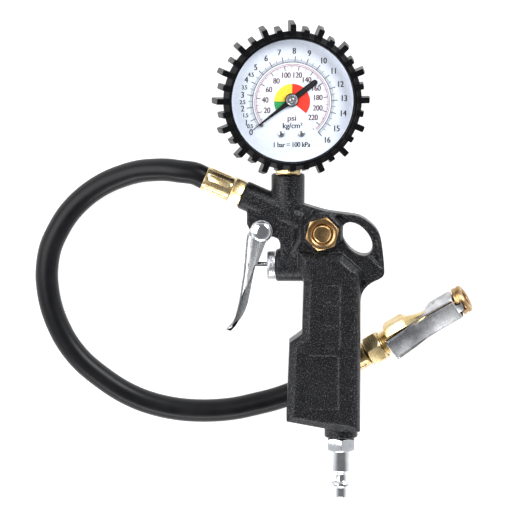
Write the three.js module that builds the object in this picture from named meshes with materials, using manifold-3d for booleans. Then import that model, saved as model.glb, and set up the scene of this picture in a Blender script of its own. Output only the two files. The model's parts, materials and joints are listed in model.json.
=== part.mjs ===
// A tyre inflator gun with a dial gauge, lying face up on a bench. A stiff rubber hose leaves the front of
// the gun, lies in a half loop, passes under the grip and ends in a clip-on chuck.
//
// Millimetres. The row frame is +Y from the grip towards the gauge, +X to the right and +Z up.
// The gun has a frame of its own: the origin is the middle of the gauge, X across, Y towards the top of the
// gauge and Z out of the dial. Its mid plane holds the inlet, the valve, the gauge stem and the hose outlet.
import * as THREE from 'three';
import { mergeVertices } from 'three/addons/utils/BufferGeometryUtils.js';
import Module from 'manifold-3d';

const wasm = await Module();
wasm.setup();

const DEGREE = Math.PI / 180;
const GAP = 0.3;
const FINE = 32;
const ROUND = 16;
const SMALL = 10;

// How the gun lies: the back of the gauge on the bench and the grip raised by the hose under it.
const GUN_ORIGIN = [-0.93, 85.9, 20.11];
const GUN_PITCH = 2.7 * DEGREE;
const GAUGE_YAW = 7 * DEGREE;

// Gauge, in its own turned frame.
const STEM_X = -2.15;
const GAUGE_X = -1.6;
const CASE = { radius: 34.1, rear: 30.4, shoulder: 8, wall: 1.2, back: -13, front: 15.6 };
const BOOT = {
  radius: 36.8, flange: 13.5, wall: 1, room: 0.5, back: -16.1, front: 17.4, lip: 32.8, lipThick: 1.4,
  floorThick: 1.8, backHole: 24,
};
const LUGS = {
  pairs: 16, width: 3.1, longRadius: 42.08, shortRadius: 39.6, root: 33.8, foot: 34, back: 6, front: 18.2,
  slope: 1.6,
};
const DIAL = { radius: 32.2, top: 9.8, thick: 0.6 };
const DIAL_SCREWS = [[-5.4, -18], [5.4, -18]];
const STOP_PIN = [-15.8, -13.4];
const LENS = { radius: 32.4, bottom: 13.2, thick: 1.2 };
const LENS_RING = { outer: 32.4, inner: 31.8, back: 14.7, front: 15.6 };
const HUB = { arbor: 0.6, disc: 3.1 };
const POINTER_REST = 217 * DEGREE;
const GEAR = { module: 0.3, pinionTeeth: 10, sectorTeeth: 11, sectorPitch: 13.5 };
const SECTOR_PIVOT = [-13.2, -7.124];
const LINK = { reach: 6, angle: 100 * DEGREE, level: 1.2, tip: [-25.4, 1.4] };
const PLATES = { inner: 2.2, outer: 3.2 };

// Casting, in the gun frame.
const GAUGE_BOSS = { radius: 8.85, top: -40, bottom: -66 };
// Where the gauge boss dies into the outlet boss, seen from the front.
const V_JOIN = [[-12, -47.2], [-0.8, -65.2], [1.2, -57.8], [8, -55], [8, -39], [-12, -39]];
const OUTLET = { face: [-26.3, -51.05], angle: 156.5 * DEGREE, radius: 7.7, length: 34 };
const VALVE = { y: -88.8, front: -8.8, radius: 8.65, bore: 5.2, end: 22 };
const BLEED = { x: 15.9, y: -70.7, top: 11, radius: 10.6, bore: 5.3 };
const WEB = { half: 6.4, floor: 5.2, rim: 1.5 };
// Half thicknesses: the core between the bosses, the shelf under the bleed valve and the band on the web.
const CORE_HALF = 6.2;
const SHELF_HALF = 7.3;
const BAND_HALF = 7;
const GRIP = { half: 13, chamfer: 3.6, corner: 6, right: 36.4 };
const PANELS = {
  depth: 0.5, left: 15.8, right: 25.6, rows: [[-107.4, -98.2], [-119.9, -109], [-132.1, -121.5]],
};
const LOW_PANEL = { left: 7.6, right: 24.8, bottom: -164.6, top: -135.7 };
const HANG_HOLE = { x: 34.6, y: -74.3, long: 10.3, short: 6.2, turn: -50 * DEGREE };
const INLET = { x: 26.25, boss: 8.95, bottom: -181.3, bore: 5.9, passage: 3.5 };
const PLUG = { flats: 14.3, face: -181.6 };

// Trigger.
const PIVOT = [-16.3, -70];
const LEVER = { half: 8.2, wall: 1.2, ear: 5.9 };

// Hose and its crimped ferrules.
const HOSE = { radius: 6.1, crimped: 5.3, bore: 3.3, sides: 8, crimp: 15 };
const FERRULE = { radius: 6.4, inner: 5.6, length: 15.3 };
const BARB = 3;

// Chuck, along its own +X axis from an origin in the middle of its neck.
const CHUCK_ORIGIN = [68.27, -35.95, 12.9];
const CHUCK_HEADING = 31 * DEGREE;
const CHUCK_RISE = 6.9 * DEGREE;
const CHUCK = { corner: 9.9, cornerAngle: 49 * DEGREE, neck: 5.3, collar: 7.8, mouth: 4.5, passage: 0.7 };
const CLIP = { roll: 18 * DEGREE, half: 6.3, wall: 0.7, level: 7.6, splay: 11.6, tail: -20.5, front: 22.2 };
const TOOTH = { half: 2.1, back: 24.2, front: 25, tip: 3.9 };
const CLIP_PIN = { reach: 11.5, sink: 1.9, radius: 0.9 };
const THUMB_FLAT = 6.4;

// The hose's centreline in the row frame, from the outlet's ferrule, round the left and under the grip.
const HOSE_ROUTE = [
  [-34.2, 37.9, 22.4],
  [-38.2, 39.7, 22.3],
  [-42.8, 41.7, 22.2],
  [-47.6, 43.7, 22.1],
  [-52.9, 46.1, 22],
  [-60.9, 47, 20.9],
  [-66.9, 47.5, 19],
  [-73.4, 47.2, 16.6],
  [-81.9, 46, 13.4],
  [-90.9, 43.2, 10.4],
  [-101.4, 38.4, 7.9],
  [-111.4, 31.4, 6.5],
  [-119.9, 22.7, 6.2],
  [-125.9, 13.2, 6.2],
  [-130.3, 3.1, 6.2],
  [-132.1, -8, 6.2],
  [-131.9, -17, 6.2],
  [-130.2, -27.1, 6.2],
  [-126.9, -37.1, 6.2],
  [-121.4, -47.9, 6.2],
  [-113.2, -58.3, 6.2],
  [-102.1, -67.6, 6.2],
  [-91.9, -74.4, 6.2],
  [-81.4, -79.4, 6.2],
  [-70.9, -82.6, 6.2],
  [-60.9, -84.4, 6.2],
  [-50.9, -85.1, 6.2],
  [-40.9, -84.9, 6.2],
  [-30.9, -83.8, 6.2],
  [-20.9, -81.6, 6.2],
  [-10.9, -79.1, 6.2],
  [-1.9, -76, 6.2],
  [7.1, -72, 6.2],
  [18.9, -65.6, 6.2],
  [24, -62.5, 6.7],
  [29.1, -59.5, 7.4],
  [34.2, -56.4, 8.1],
  [38.8, -53.6, 8.7],
];

const finishes = {
  casting: new THREE.MeshStandardMaterial({ color: 0x1b1b1d, roughness: 0.5, metalness: 0.3 }),
  rubber: new THREE.MeshStandardMaterial({ color: 0x141415, roughness: 0.75, metalness: 0 }),
  brass: new THREE.MeshStandardMaterial({ color: 0xc9a04e, roughness: 0.28, metalness: 1 }),
  bronze: new THREE.MeshStandardMaterial({ color: 0xb07a3a, roughness: 0.3, metalness: 1 }),
  chrome: new THREE.MeshStandardMaterial({ color: 0xd8dadd, roughness: 0.14, metalness: 1 }),
  nickel: new THREE.MeshStandardMaterial({ color: 0xc4c5c6, roughness: 0.3, metalness: 1 }),
  steel: new THREE.MeshStandardMaterial({ color: 0x8d9094, roughness: 0.4, metalness: 1 }),
  dark: new THREE.MeshStandardMaterial({ color: 0x101011, roughness: 0.45, metalness: 0.5 }),
  dial: new THREE.MeshStandardMaterial({ color: 0xf2f4f8, roughness: 0.4, metalness: 0 }),
  lens: new THREE.MeshStandardMaterial({ color: 0xffffff, roughness: 0.05, transparent: true, opacity: 0.2 }),
};

// --- helpers -----------------------------------------------------------------------------------------------

function solidOf(geometry) {
  const bare = new THREE.BufferGeometry();
  bare.setAttribute('position', geometry.getAttribute('position').clone());
  if (geometry.index) bare.setIndex(geometry.index.clone());
  const merged = mergeVertices(bare, 1e-4);
  const corners = merged.index.array;
  const kept = [];
  for (let i = 0; i < corners.length; i += 3) {
    const [a, b, c] = corners.slice(i, i + 3);
    if (a !== b && b !== c && c !== a) kept.push(a, b, c);
  }
  return new wasm.Manifold(new wasm.Mesh({
    numProp: 3,
    vertProperties: merged.getAttribute('position').array,
    triVerts: new Uint32Array(kept),
  }));
}

function geometryOf(solid) {
  const cut = solid.getMesh();
  const geometry = new THREE.BufferGeometry();
  geometry.setAttribute('position', new THREE.BufferAttribute(new Float32Array(cut.vertProperties), 3));
  geometry.setIndex(new THREE.BufferAttribute(new Uint32Array(cut.triVerts), 1));
  geometry.computeVertexNormals();
  return geometry;
}

function joined(...geometries) {
  return geometryOf(geometries.map(solidOf).reduce((a, b) => a.add(b)));
}

function cut(geometry, ...tools) {
  return geometryOf(tools.map(solidOf).reduce((rest, tool) => rest.subtract(tool), solidOf(geometry)));
}

function common(geometry, other) {
  return geometryOf(solidOf(geometry).intersect(solidOf(other)));
}

// A profile of [radius, height] turned about +Y: it starts and ends on the axis, or closes on itself.
function turned(profile, sides = ROUND) {
  const points = profile.map(([r, y]) => new THREE.Vector2(r, y));
  return geometryOf(solidOf(new THREE.LatheGeometry(points, sides)));
}

function rod(radius, from, to, sides = ROUND) {
  return turned([[0, from], [radius, from], [radius, to], [0, to]], sides);
}

function sleeve(outer, inner, from, to, sides = ROUND) {
  return turned([[inner, from], [outer, from], [outer, to], [inner, to], [inner, from]], sides);
}

// A hexagonal prism along +Y with its corners turned down by the chamfer at both ends.
function hexagon(flats, from, to, chamfer, bore = 0) {
  const corner = flats / Math.sqrt(3);
  const prism = new THREE.CylinderGeometry(corner, corner, to - from, 6);
  prism.translate(0, (from + to) / 2, 0);
  const low = corner - chamfer;
  const rise = chamfer * 0.6;
  const turnedDown = turned([
    [0, from], [low, from], [corner, from + rise], [corner, to - rise], [low, to], [0, to],
  ]);
  const head = common(prism, turnedDown);
  return bore > 0 ? cut(head, rod(bore, from - 1, to + 1)) : head;
}

function box(low, high) {
  const size = low.map((value, i) => high[i] - value);
  const geometry = new THREE.BoxGeometry(...size);
  geometry.translate(...low.map((value, i) => value + size[i] / 2));
  return geometry;
}

// The outline in X and Y as a plate between two heights, its edges cut back by the chamfer.
function plate(outline, low, high, chamfer = 0, holes = []) {
  const shape = new THREE.Shape(outline.map(([x, y]) => new THREE.Vector2(x, y)));
  shape.holes = holes.map((hole) => new THREE.Path(hole.map(([x, y]) => new THREE.Vector2(x, y))));
  const geometry = new THREE.ExtrudeGeometry(shape, {
    depth: high - low - 2 * chamfer,
    bevelEnabled: chamfer > 0,
    bevelThickness: chamfer,
    bevelSize: chamfer,
    bevelOffset: -chamfer,
    bevelSegments: 1,
  });
  geometry.translate(0, 0, low + chamfer);
  return geometry;
}

function ring(count, place) {
  return Array.from({ length: count }, (_, i) => place(i, (i / count) * 2 * Math.PI));
}

function ellipse(centre, long, short, turn, sides) {
  return ring(sides, (_, angle) => {
    const [x, y] = [long * Math.cos(angle), short * Math.sin(angle)];
    return [
      centre[0] + x * Math.cos(turn) - y * Math.sin(turn),
      centre[1] + x * Math.sin(turn) + y * Math.cos(turn),
    ];
  });
}

// A smooth line through the points.
function smooth(points, samples) {
  const flat = points.map(([x, y]) => new THREE.Vector3(x, y, 0));
  const curve = new THREE.CatmullRomCurve3(flat, false, 'centripetal');
  return curve.getPoints(samples).map((point) => [point.x, point.y]);
}

// The outline moved inwards by the distance, corner by corner. It runs anticlockwise.
function inset(outline, distance) {
  return outline.map((here, i) => {
    const before = outline[(i + outline.length - 1) % outline.length];
    const after = outline[(i + 1) % outline.length];
    const one = new THREE.Vector2(before[1] - here[1], here[0] - before[0]).normalize();
    const two = new THREE.Vector2(here[1] - after[1], after[0] - here[0]).normalize();
    const bisector = one.clone().add(two).normalize();
    const reach = distance / Math.max(0.5, bisector.dot(one));
    return [here[0] + bisector.x * reach, here[1] + bisector.y * reach];
  });
}

// The geometry moved so that its +Y runs from a point along a direction, spun about it first.
function aimed(geometry, from, direction, spin = 0) {
  const up = new THREE.Vector3(0, 1, 0);
  const turn = new THREE.Quaternion().setFromUnitVectors(up, new THREE.Vector3(...direction).normalize());
  return geometry.clone().rotateY(spin).applyQuaternion(turn).translate(...from);
}

function mesh(name, geometry, material) {
  const made = new THREE.Mesh(geometry, material);
  made.name = name;
  return made;
}

function group(...children) {
  const made = new THREE.Group();
  made.add(...children);
  return made;
}

// The group placed so that its own +Y runs from a point along a direction in the plane of the gun.
function along(made, from, angle) {
  made.position.set(...from);
  made.rotation.z = angle - Math.PI / 2;
  return made;
}

// --- the casting -------------------------------------------------------------------------------------------

// The web behind the gun's head: from the gauge boss over the hang hole and down to the grip.
function webOutline() {
  const edge = smooth([
    [4, -55.3], [15, -58.7], [20, -59.9], [30, -61.2], [35, -62], [38.4, -63.5], [42, -66.2], [45, -69.3],
    [46.8, -72.8], [47.7, -77.3], [48.5, -83.9], [49, -90.6], [48.9, -93.4], [46.8, -95.5], [43.2, -97.2],
    [40, -99.4], [38.1, -101.7], [37, -103.9], [GRIP.right, -108],
  ], 30);
  return [...edge, [20, -108], [0, -88], [0, -60]].reverse();
}

function web() {
  const outline = webOutline();
  const hole = ellipse([HANG_HOLE.x, HANG_HOLE.y], HANG_HOLE.long, HANG_HOLE.short, HANG_HOLE.turn, 28);
  const body = plate(outline, -WEB.half, WEB.half, 0, [hole]);
  const band = plate([
    [20, -70], [20, -84], [27, -84.5], [36.2, -95.4], [40, -98.5], [46.5, -94.9], [48.3, -90.2],
    [40.8, -83.2], [31, -76], [26, -66],
  ], -BAND_HALF, BAND_HALF, 0.5);
  const holeTool = plate(hole, -BAND_HALF - 1, BAND_HALF + 1);
  const sunk = inset(outline, WEB.rim);
  const front = plate(sunk, WEB.floor, WEB.half + 1);
  const back = plate(sunk, -WEB.half - 1, -WEB.floor);
  return cut(joined(cut(body, front, back), band), holeTool);
}

// The block where the gauge boss, the outlet and the valve housing meet, with the lug for the trigger's pin.
function core() {
  const block = plate([
    [-8.6, -60], [-9.6, -66], [-9.6, -72.6], [-7.2, -74.6], [-6.3, -77], [-6.3, -88], [27, -88], [29, -84.5],
    [23.6, -77.2], [25.8, -67.5], [19.5, -61.6], [5, -57.4],
  ], -CORE_HALF, CORE_HALF, 1);
  const lug = plate([
    [-24, -60], [-24, -66.4], [-21.6, -71.4], [-16.9, -74.6], [-10.8, -73], [-8, -74], [-8, -60],
  ], -LEVER.half + LEVER.wall + 0.6, LEVER.half - LEVER.wall - 0.6, 0.6);
  const shelf = plate([
    [4.8, -57.4], [9.8, -63.4], [5.3, -71], [0.2, -80.6], [0.2, -86], [27, -86], [29, -84.5], [23.6, -77.2],
    [25.8, -67.5], [19.5, -61.6],
  ], -SHELF_HALF, SHELF_HALF, 1);
  return joined(block, lug, shelf);
}

function bleedBoss() {
  const rest = SHELF_HALF - 1;
  const cone = turned([
    [0, rest], [BLEED.radius + 1.6, rest], [BLEED.radius, BLEED.top - 0.6], [BLEED.radius - 0.6, BLEED.top],
    [0, BLEED.top],
  ], 8);
  return aimed(cone, [BLEED.x, BLEED.y, 0], [0, 0, 1], 22.5 * DEGREE);
}

// The grip is the side view's outline, chamfered all round, with the rear edges rounded along its length.
function grip() {
  const outline = [
    [GRIP.right + 6, -96], [26.5, -82], [3.4, -81], [3.4, -91], [6.2, -95.4], [5.3, -124.6], [-1.4, -129.4],
    [-3, -171.7], [16.9, -175.4], [GRIP.right + 6, -178],
  ];
  const side = plate(outline, -GRIP.half, GRIP.half, GRIP.chamfer);
  const r = GRIP.corner;
  const rear = (sign, from) => Array.from({ length: 5 }, (_, i) => {
    const angle = (from + sign * i * 22.5) * DEGREE;
    return [GRIP.right - r + r * Math.cos(angle), sign * (GRIP.half - r) + r * Math.sin(angle)];
  });
  const section = [[-12, -GRIP.half], ...rear(-1, 0).reverse(), ...rear(1, 0), [-12, GRIP.half]];
  const lengthwise = new THREE.ExtrudeGeometry(
    new THREE.Shape(section.map(([x, z]) => new THREE.Vector2(x, z))),
    { depth: 100, bevelEnabled: false },
  ).rotateX(Math.PI / 2).translate(0, -80, 0);
  return common(side, lengthwise);
}

// Shallow panels sunk in both sides of the grip.
function panels() {
  const floor = GRIP.half - PANELS.depth;
  const areas = [
    ...PANELS.rows.map(([low, high]) => ({ low: [PANELS.left, low], high: [PANELS.right, high] })),
    { low: [LOW_PANEL.left, LOW_PANEL.bottom], high: [LOW_PANEL.right, LOW_PANEL.top] },
  ];
  return areas.flatMap(({ low, high }) => [
    box([...low, floor], [...high, GRIP.half + 1]),
    box([...low, -GRIP.half - 1], [...high, -floor]),
  ]);
}

function bossAlong(radius, length, edge) {
  return turned([[0, -length], [radius, -length], [radius, -edge], [radius - edge, 0], [0, 0]], 24);
}

function outletDirection() {
  return [Math.cos(OUTLET.angle), Math.sin(OUTLET.angle), 0];
}

function gunBody() {
  const outlet = [...OUTLET.face, 0];
  const { radius, top, bottom } = GAUGE_BOSS;
  const wholeBoss = aimed(bossAlong(radius, top - bottom, 0.6), [STEM_X, top, 0], [0, 1, 0]);
  const gaugeBoss = common(wholeBoss, plate(V_JOIN, -radius - 1, radius + 1));
  const outletBoss = aimed(bossAlong(OUTLET.radius, OUTLET.length, 0.6), outlet, outletDirection());
  const housing = aimed(bossAlong(VALVE.radius, 36, 1), [VALVE.front, VALVE.y, 0], [-1, 0, 0]);
  const inletBoss = aimed(bossAlong(INLET.boss, 30, 0.6), [INLET.x, INLET.bottom, 0], [0, -1, 0]);
  const metal = joined(web(), core(), bleedBoss(), grip(), gaugeBoss, outletBoss, housing, inletBoss);
  const bores = [
    aimed(rod(6.9, -12, 1), [STEM_X, top, 0], [0, 1, 0]),
    aimed(rod(5.3, -12, 1), outlet, outletDirection()),
    aimed(rod(VALVE.bore, VALVE.front - VALVE.end, 1), [VALVE.front, VALVE.y, 0], [-1, 0, 0]),
    aimed(rod(BLEED.bore, -2, BLEED.top + 1), [BLEED.x, BLEED.y, 0], [0, 0, 1]),
    aimed(rod(INLET.bore, -12, 1), [INLET.x, INLET.bottom, 0], [0, -1, 0]),
    aimed(rod(INLET.passage, INLET.bottom - VALVE.y, 0, SMALL), [INLET.x, INLET.bottom, 0], [0, -1, 0]),
    aimed(rod(2, VALVE.y, top - 10, SMALL), [STEM_X, 0, 0], [0, 1, 0]),
    aimed(rod(1.8, STEM_X, BLEED.x, SMALL), [0, BLEED.y, 0], [1, 0, 0]),
    aimed(rod(2.3, -26, -10, SMALL), outlet, outletDirection()),
    aimed(rod(2.35, -12, 12, SMALL), [...PIVOT, 0], [0, 0, 1]),
  ];
  return mesh('gun_body', cut(metal, ...panels(), ...bores), finishes.casting);
}

// --- the gauge ---------------------------------------------------------------------------------------------

// A lug is a bar across the front of the boot that runs out past it, its end sloping out towards the back.
function lug(angle, radius) {
  const { width, root, foot, back, front, slope } = LUGS;
  const outline = [[foot, back], [radius, back], [radius, back + 2], [radius - slope, front], [root, front]];
  return plate(outline, -width / 2, width / 2).rotateX(Math.PI / 2).rotateZ(angle);
}

// The case's side: straight to the shoulder and tapered from there to the rear.
function caseSide(outwards) {
  return [[CASE.rear + outwards, CASE.back + 1], [CASE.radius + outwards, CASE.shoulder]];
}

function gaugeBoot() {
  const { radius, flange, wall, room, back, front, lip, lipThick, floorThick, backHole } = BOOT;
  const [innerRear, innerShoulder] = caseSide(room);
  const [outerRear, outerShoulder] = caseSide(room + wall);
  const underLip = front - lipThick;
  const floor = back + floorThick;
  const ringWall = turned([
    [backHole, back], [outerRear[0] - 1, back], [outerRear[0], back + 1], outerRear, outerShoulder,
    [outerShoulder[0], flange - 2], [radius, flange], [radius, front - 0.6], [radius - 0.6, front],
    [lip, front], [lip, underLip], [innerShoulder[0], underLip], innerShoulder, innerRear,
    [innerRear[0], floor], [backHole, floor], [backHole, back],
  ], FINE).rotateX(Math.PI / 2);
  const step = Math.PI / LUGS.pairs;
  const bottomLug = LUGS.pairs * 1.5;
  const lugs = ring(LUGS.pairs * 2, (i) => {
    const nearStem = Math.abs(i - bottomLug) < 1.5;
    const free = i % 2 === 0 ? LUGS.longRadius : LUGS.shortRadius;
    return lug(i * step, nearStem ? radius + 1.6 : free);
  });
  const stemSlot = box([-7, -radius - 2, -7.3], [7, -28, 7.3]);
  const seat = turned([
    [0, floor], [innerRear[0], floor], innerRear, innerShoulder, [innerShoulder[0], underLip], [0, underLip],
  ], FINE).rotateX(Math.PI / 2);
  return mesh('gauge_boot', cut(joined(ringWall, ...lugs), stemSlot, seat), finishes.rubber);
}

function gaugeCase() {
  const { radius, rear, shoulder, wall, back, front } = CASE;
  const cup = turned([
    [0, back], [rear - 1, back], ...caseSide(0), [radius, front], [radius - wall, front],
    [radius - wall, shoulder], [rear - wall, back + wall], [0, back + wall],
  ], FINE).rotateX(Math.PI / 2);
  const stemHole = aimed(rod(7.7, -radius - 2, -radius + 6), [0, 0, 0], [0, 1, 0]);
  return mesh('gauge_case', cut(cup, stemHole), finishes.dark);
}

function lensRing() {
  const { outer, inner, back, front } = LENS_RING;
  return mesh('lens_ring', sleeve(outer, inner, back, front, FINE).rotateX(Math.PI / 2), finishes.dark);
}

function gaugeLens() {
  const { radius, bottom, thick } = LENS;
  const shape = turned([
    [0, bottom], [radius, bottom], [radius, bottom + thick], [0, bottom + thick],
  ], FINE).rotateX(Math.PI / 2);
  return mesh('gauge_lens', shape, finishes.lens);
}

function dialPlate() {
  const { radius, top, thick } = DIAL;
  const disc = rod(radius, top - thick, top, FINE).rotateX(Math.PI / 2);
  const holes = [
    aimed(rod(2, 0, 12), [0, 0, 0], [0, 0, 1]),
    ...DIAL_SCREWS.map(([x, y]) => aimed(rod(1.2, 0, 12, SMALL), [x, y, 0], [0, 0, 1])),
    aimed(rod(0.9, 0, 12, SMALL), [...STOP_PIN, 0], [0, 0, 1]),
  ];
  return mesh('dial_plate', cut(disc, ...holes), finishes.dial);
}

function dialScrew(name, [x, y]) {
  const head = DIAL.top + GAP;
  const screw = turned([
    [0, 2.3], [0.85, 2.3], [0.85, head], [1.6, head], [1.6, head + 0.5], [1.2, head + 0.7], [0, head + 0.7],
  ], SMALL);
  const slot = box([-2, head + 0.4, -0.2], [2, head + 1, 0.2]);
  const made = mesh(name, cut(screw, slot).rotateX(Math.PI / 2), finishes.steel);
  made.position.set(x, y, 0);
  return made;
}

function zeroStopPin() {
  const shape = rod(0.6, DIAL.top - 1, DIAL.top + 1.4, SMALL).rotateX(Math.PI / 2);
  const made = mesh('zero_stop_pin', shape, finishes.steel);
  made.position.set(...STOP_PIN, 0);
  return made;
}

// The brass stem: a thread in the boss, a hexagon under the boot and a square block inside the case.
function gaugeStem() {
  const hex = hexagon(12.4, -39.7, -36.6, 0.6);
  const thread = rod(6.6, -51.7, -39.6);
  const neck = rod(5.6, -36.8, -33);
  const block = box([-5, -34, -4.4], [5, -20.5, 4.4]);
  const shape = cut(joined(hex, thread, neck, block), rod(1.4, -53, -24, SMALL));
  return mesh('gauge_stem', shape, finishes.brass);
}

function circleArc(radius, from, to, steps) {
  return Array.from({ length: steps + 1 }, (_, i) => {
    const angle = from + ((to - from) * i) / steps;
    return [radius * Math.cos(angle), radius * Math.sin(angle)];
  });
}

// A flattened tube bent round the movement, from the stem block to the free tip that drives the link.
function bourdonTube() {
  const from = -72 * DEGREE;
  const to = 170 * DEGREE;
  const outline = [...circleArc(26.6, from, to, 30), ...circleArc(24.4, from, to, 30).reverse()];
  const tube = plate(outline, -8, -2.2);
  const tip = box([24.2, -1.6, -8.4], [27.6, 1.6, 0.4]).rotateZ(to);
  return mesh('bourdon_tube', joined(tube, tip), finishes.brass);
}

function movementPlate(name, low, high) {
  const outline = [[-9, -20.1], [9, -20.1], [18, -12], [18, -3], [6, 7], [-6, 7], [-18, -3], [-18, -12]];
  const holes = [
    aimed(rod(HUB.arbor + 0.25, low - 1, high + 1, SMALL), [0, 0, 0], [0, 0, 1]),
    aimed(rod(1.05, low - 1, high + 1, SMALL), [...SECTOR_PIVOT, 0], [0, 0, 1]),
    ...DIAL_SCREWS.map(([x, y]) => aimed(rod(1.2, low - 1, high + 1, SMALL), [x, y, 0], [0, 0, 1])),
  ];
  return mesh(name, cut(plate(outline, low, high), ...holes), finishes.brass);
}

function movementPillar(name, x, y) {
  const made = mesh(name, rod(1.4, -1.9, 1.9, SMALL).rotateX(Math.PI / 2), finishes.brass);
  made.position.set(x, y, 0);
  return made;
}

// Slim teeth with plenty of backlash, as on a clockwork pinion.
function toothed(teeth, count, pitch, module, start, foot) {
  const root = pitch - 1.1 * module;
  const tip = pitch + 0.75 * module;
  const width = 0.34 * Math.PI * module;
  const points = [];
  for (let i = 0; i < count; i += 1) {
    const angle = start + (i * 2 * Math.PI) / teeth;
    const tooth = [[root, -0.62], [tip, -0.3], [tip, 0.3], [root, 0.62]];
    for (const [radius, side] of tooth) {
      const offset = (side * width) / radius;
      points.push([radius * Math.cos(angle + offset), radius * Math.sin(angle + offset)]);
    }
  }
  return [...points, ...foot];
}

function sectorLine() {
  return Math.atan2(-SECTOR_PIVOT[1], -SECTOR_PIVOT[0]);
}

// The sector's toothed arc faces the pinion; its tail reaches the link.
function sectorGear() {
  const teeth = (GEAR.sectorPitch * 2) / GEAR.module;
  const pitch = (2 * Math.PI) / teeth;
  const toPinion = sectorLine();
  const start = toPinion - 8.5 * pitch;
  const inner = circleArc(10.9, start + 11 * pitch, start - pitch, 6);
  const rim = plate(toothed(teeth, GEAR.sectorTeeth, GEAR.sectorPitch, GEAR.module, start, inner), -0.5, 0.5);
  const middle = start + 5 * pitch;
  const arm = plate([
    [Math.cos(middle + 0.5) * 2.3, Math.sin(middle + 0.5) * 2.3],
    [Math.cos(middle - 0.5) * 2.3, Math.sin(middle - 0.5) * 2.3],
    [Math.cos(middle - 0.17) * 11.6, Math.sin(middle - 0.17) * 11.6],
    [Math.cos(middle + 0.17) * 11.6, Math.sin(middle + 0.17) * 11.6],
  ], -0.5, 0.5);
  const tailEnd = LINK.reach + 1.4;
  const tail = plate([[0, -1.6], [tailEnd, -1], [tailEnd, 1], [0, 1.6]], -0.5, 0.5).rotateZ(LINK.angle);
  const linkPin = aimed(rod(0.5, 0, LINK.level + 0.8, SMALL), linkEye(), [0, 0, 1]);
  const staff = rod(0.8, -2.9, 2.9, SMALL).rotateX(Math.PI / 2);
  const boss = rod(2.4, -1, 1, SMALL).rotateX(Math.PI / 2);
  const shape = joined(rim, arm, tail, linkPin, staff, boss);
  const made = mesh('sector_gear', shape, finishes.brass);
  made.position.set(...SECTOR_PIVOT, 0);
  return made;
}

// The link's eye on the sector's tail, measured from the sector's pivot.
function linkEye() {
  return [LINK.reach * Math.cos(LINK.angle), LINK.reach * Math.sin(LINK.angle), 0];
}

// The link runs from the sector's tail to the free end of the tube, above both.
function movementLink() {
  const [x, y] = linkEye();
  const from = [SECTOR_PIVOT[0] + x, SECTOR_PIVOT[1] + y];
  const [dx, dy] = [LINK.tip[0] - from[0], LINK.tip[1] - from[1]];
  const length = Math.hypot(dx, dy);
  const near = circleArc(1.5, 90 * DEGREE, 270 * DEGREE, 8);
  const far = circleArc(1.5, -90 * DEGREE, 90 * DEGREE, 8).map(([a, b]) => [a + length, b]);
  const strip = plate([...near, ...far], 0, 0.8);
  const made = mesh('movement_link', cut(strip, rod(0.8, -1, 2, SMALL).rotateX(Math.PI / 2)), finishes.brass);
  made.position.set(...from, LINK.level);
  made.rotation.z = Math.atan2(dy, dx);
  return made;
}

// The pinion and its arbor: it carries the pointer.
function pointerArbor() {
  const { pinionTeeth, module } = GEAR;
  const towardsSector = sectorLine() + Math.PI;
  const pitch = (module * pinionTeeth) / 2;
  const pinion = plate(toothed(pinionTeeth, pinionTeeth, pitch, module, towardsSector, []), -1, 1);
  const arbor = rod(HUB.arbor, -2.9, DIAL.top + 1.6, SMALL).rotateX(Math.PI / 2);
  return mesh('pointer_arbor', joined(pinion, arbor), finishes.steel);
}

// A flat spiral between the arbor and the front plate, which takes up the backlash.
function hairspring() {
  const turns = 3;
  const steps = turns * 12;
  const spiral = (offset) => Array.from({ length: steps + 1 }, (_, i) => {
    const angle = (i / steps) * turns * 2 * Math.PI;
    const radius = 1.2 + (i / steps) * turns + offset;
    return [radius * Math.cos(angle), radius * Math.sin(angle)];
  });
  const outline = [...spiral(0.1), ...spiral(-0.1).reverse()];
  return mesh('hairspring', plate(outline, 3.8, 4.3), finishes.bronze);
}

// The pointer lies along its own +X, long arm outwards; the tail is a bar with a round end.
function pointer() {
  const tail = circleArc(1.45, 90 * DEGREE, 270 * DEGREE, 8).map(([x, y]) => [x - 14, y]);
  const arm = [[8, -0.95], [26.2, -0.12], [26.2, 0.12], [8, 0.95], [0, 1.45]];
  const blade = plate([...arm, ...tail, [0, -1.45]], 0, 0.5);
  const hub = rod(2.6, 0, 0.5).rotateX(Math.PI / 2);
  const shape = cut(joined(blade, hub), rod(HUB.arbor + GAP, -1, 2, SMALL).rotateX(Math.PI / 2));
  const made = mesh('pointer', shape, finishes.dark);
  made.position.z = DIAL.top + 0.9;
  made.rotation.z = POINTER_REST;
  return made;
}

function pointerCap() {
  const disc = turned([[0, 0], [HUB.disc, 0], [HUB.disc, 0.5], [HUB.disc - 0.4, 0.8], [0, 0.8]]);
  const made = mesh('pointer_cap', disc.rotateX(Math.PI / 2), finishes.steel);
  made.position.z = DIAL.top + 0.9 + 0.5 + GAP;
  return made;
}

function gauge() {
  const head = group(
    gaugeBoot(), gaugeCase(), lensRing(), gaugeLens(), dialPlate(), zeroStopPin(), bourdonTube(),
    dialScrew('dial_screw_left', DIAL_SCREWS[0]), dialScrew('dial_screw_right', DIAL_SCREWS[1]),
    movementPlate('movement_back_plate', -PLATES.outer, -PLATES.inner),
    movementPlate('movement_front_plate', PLATES.inner, PLATES.outer),
    movementPillar('movement_pillar_right', 13, -8), movementPillar('movement_pillar_top', 6, 4.5),
    movementPillar('movement_pillar_low', -3.4, -17.6),
    sectorGear(), movementLink(), pointerArbor(), hairspring(), pointer(), pointerCap(),
  );
  head.position.x = GAUGE_X - STEM_X;
  const made = group(head, gaugeStem());
  made.position.x = STEM_X;
  made.rotation.y = GAUGE_YAW;
  return made;
}

// --- valve, bleed valve and inlet --------------------------------------------------------------------------

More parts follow.
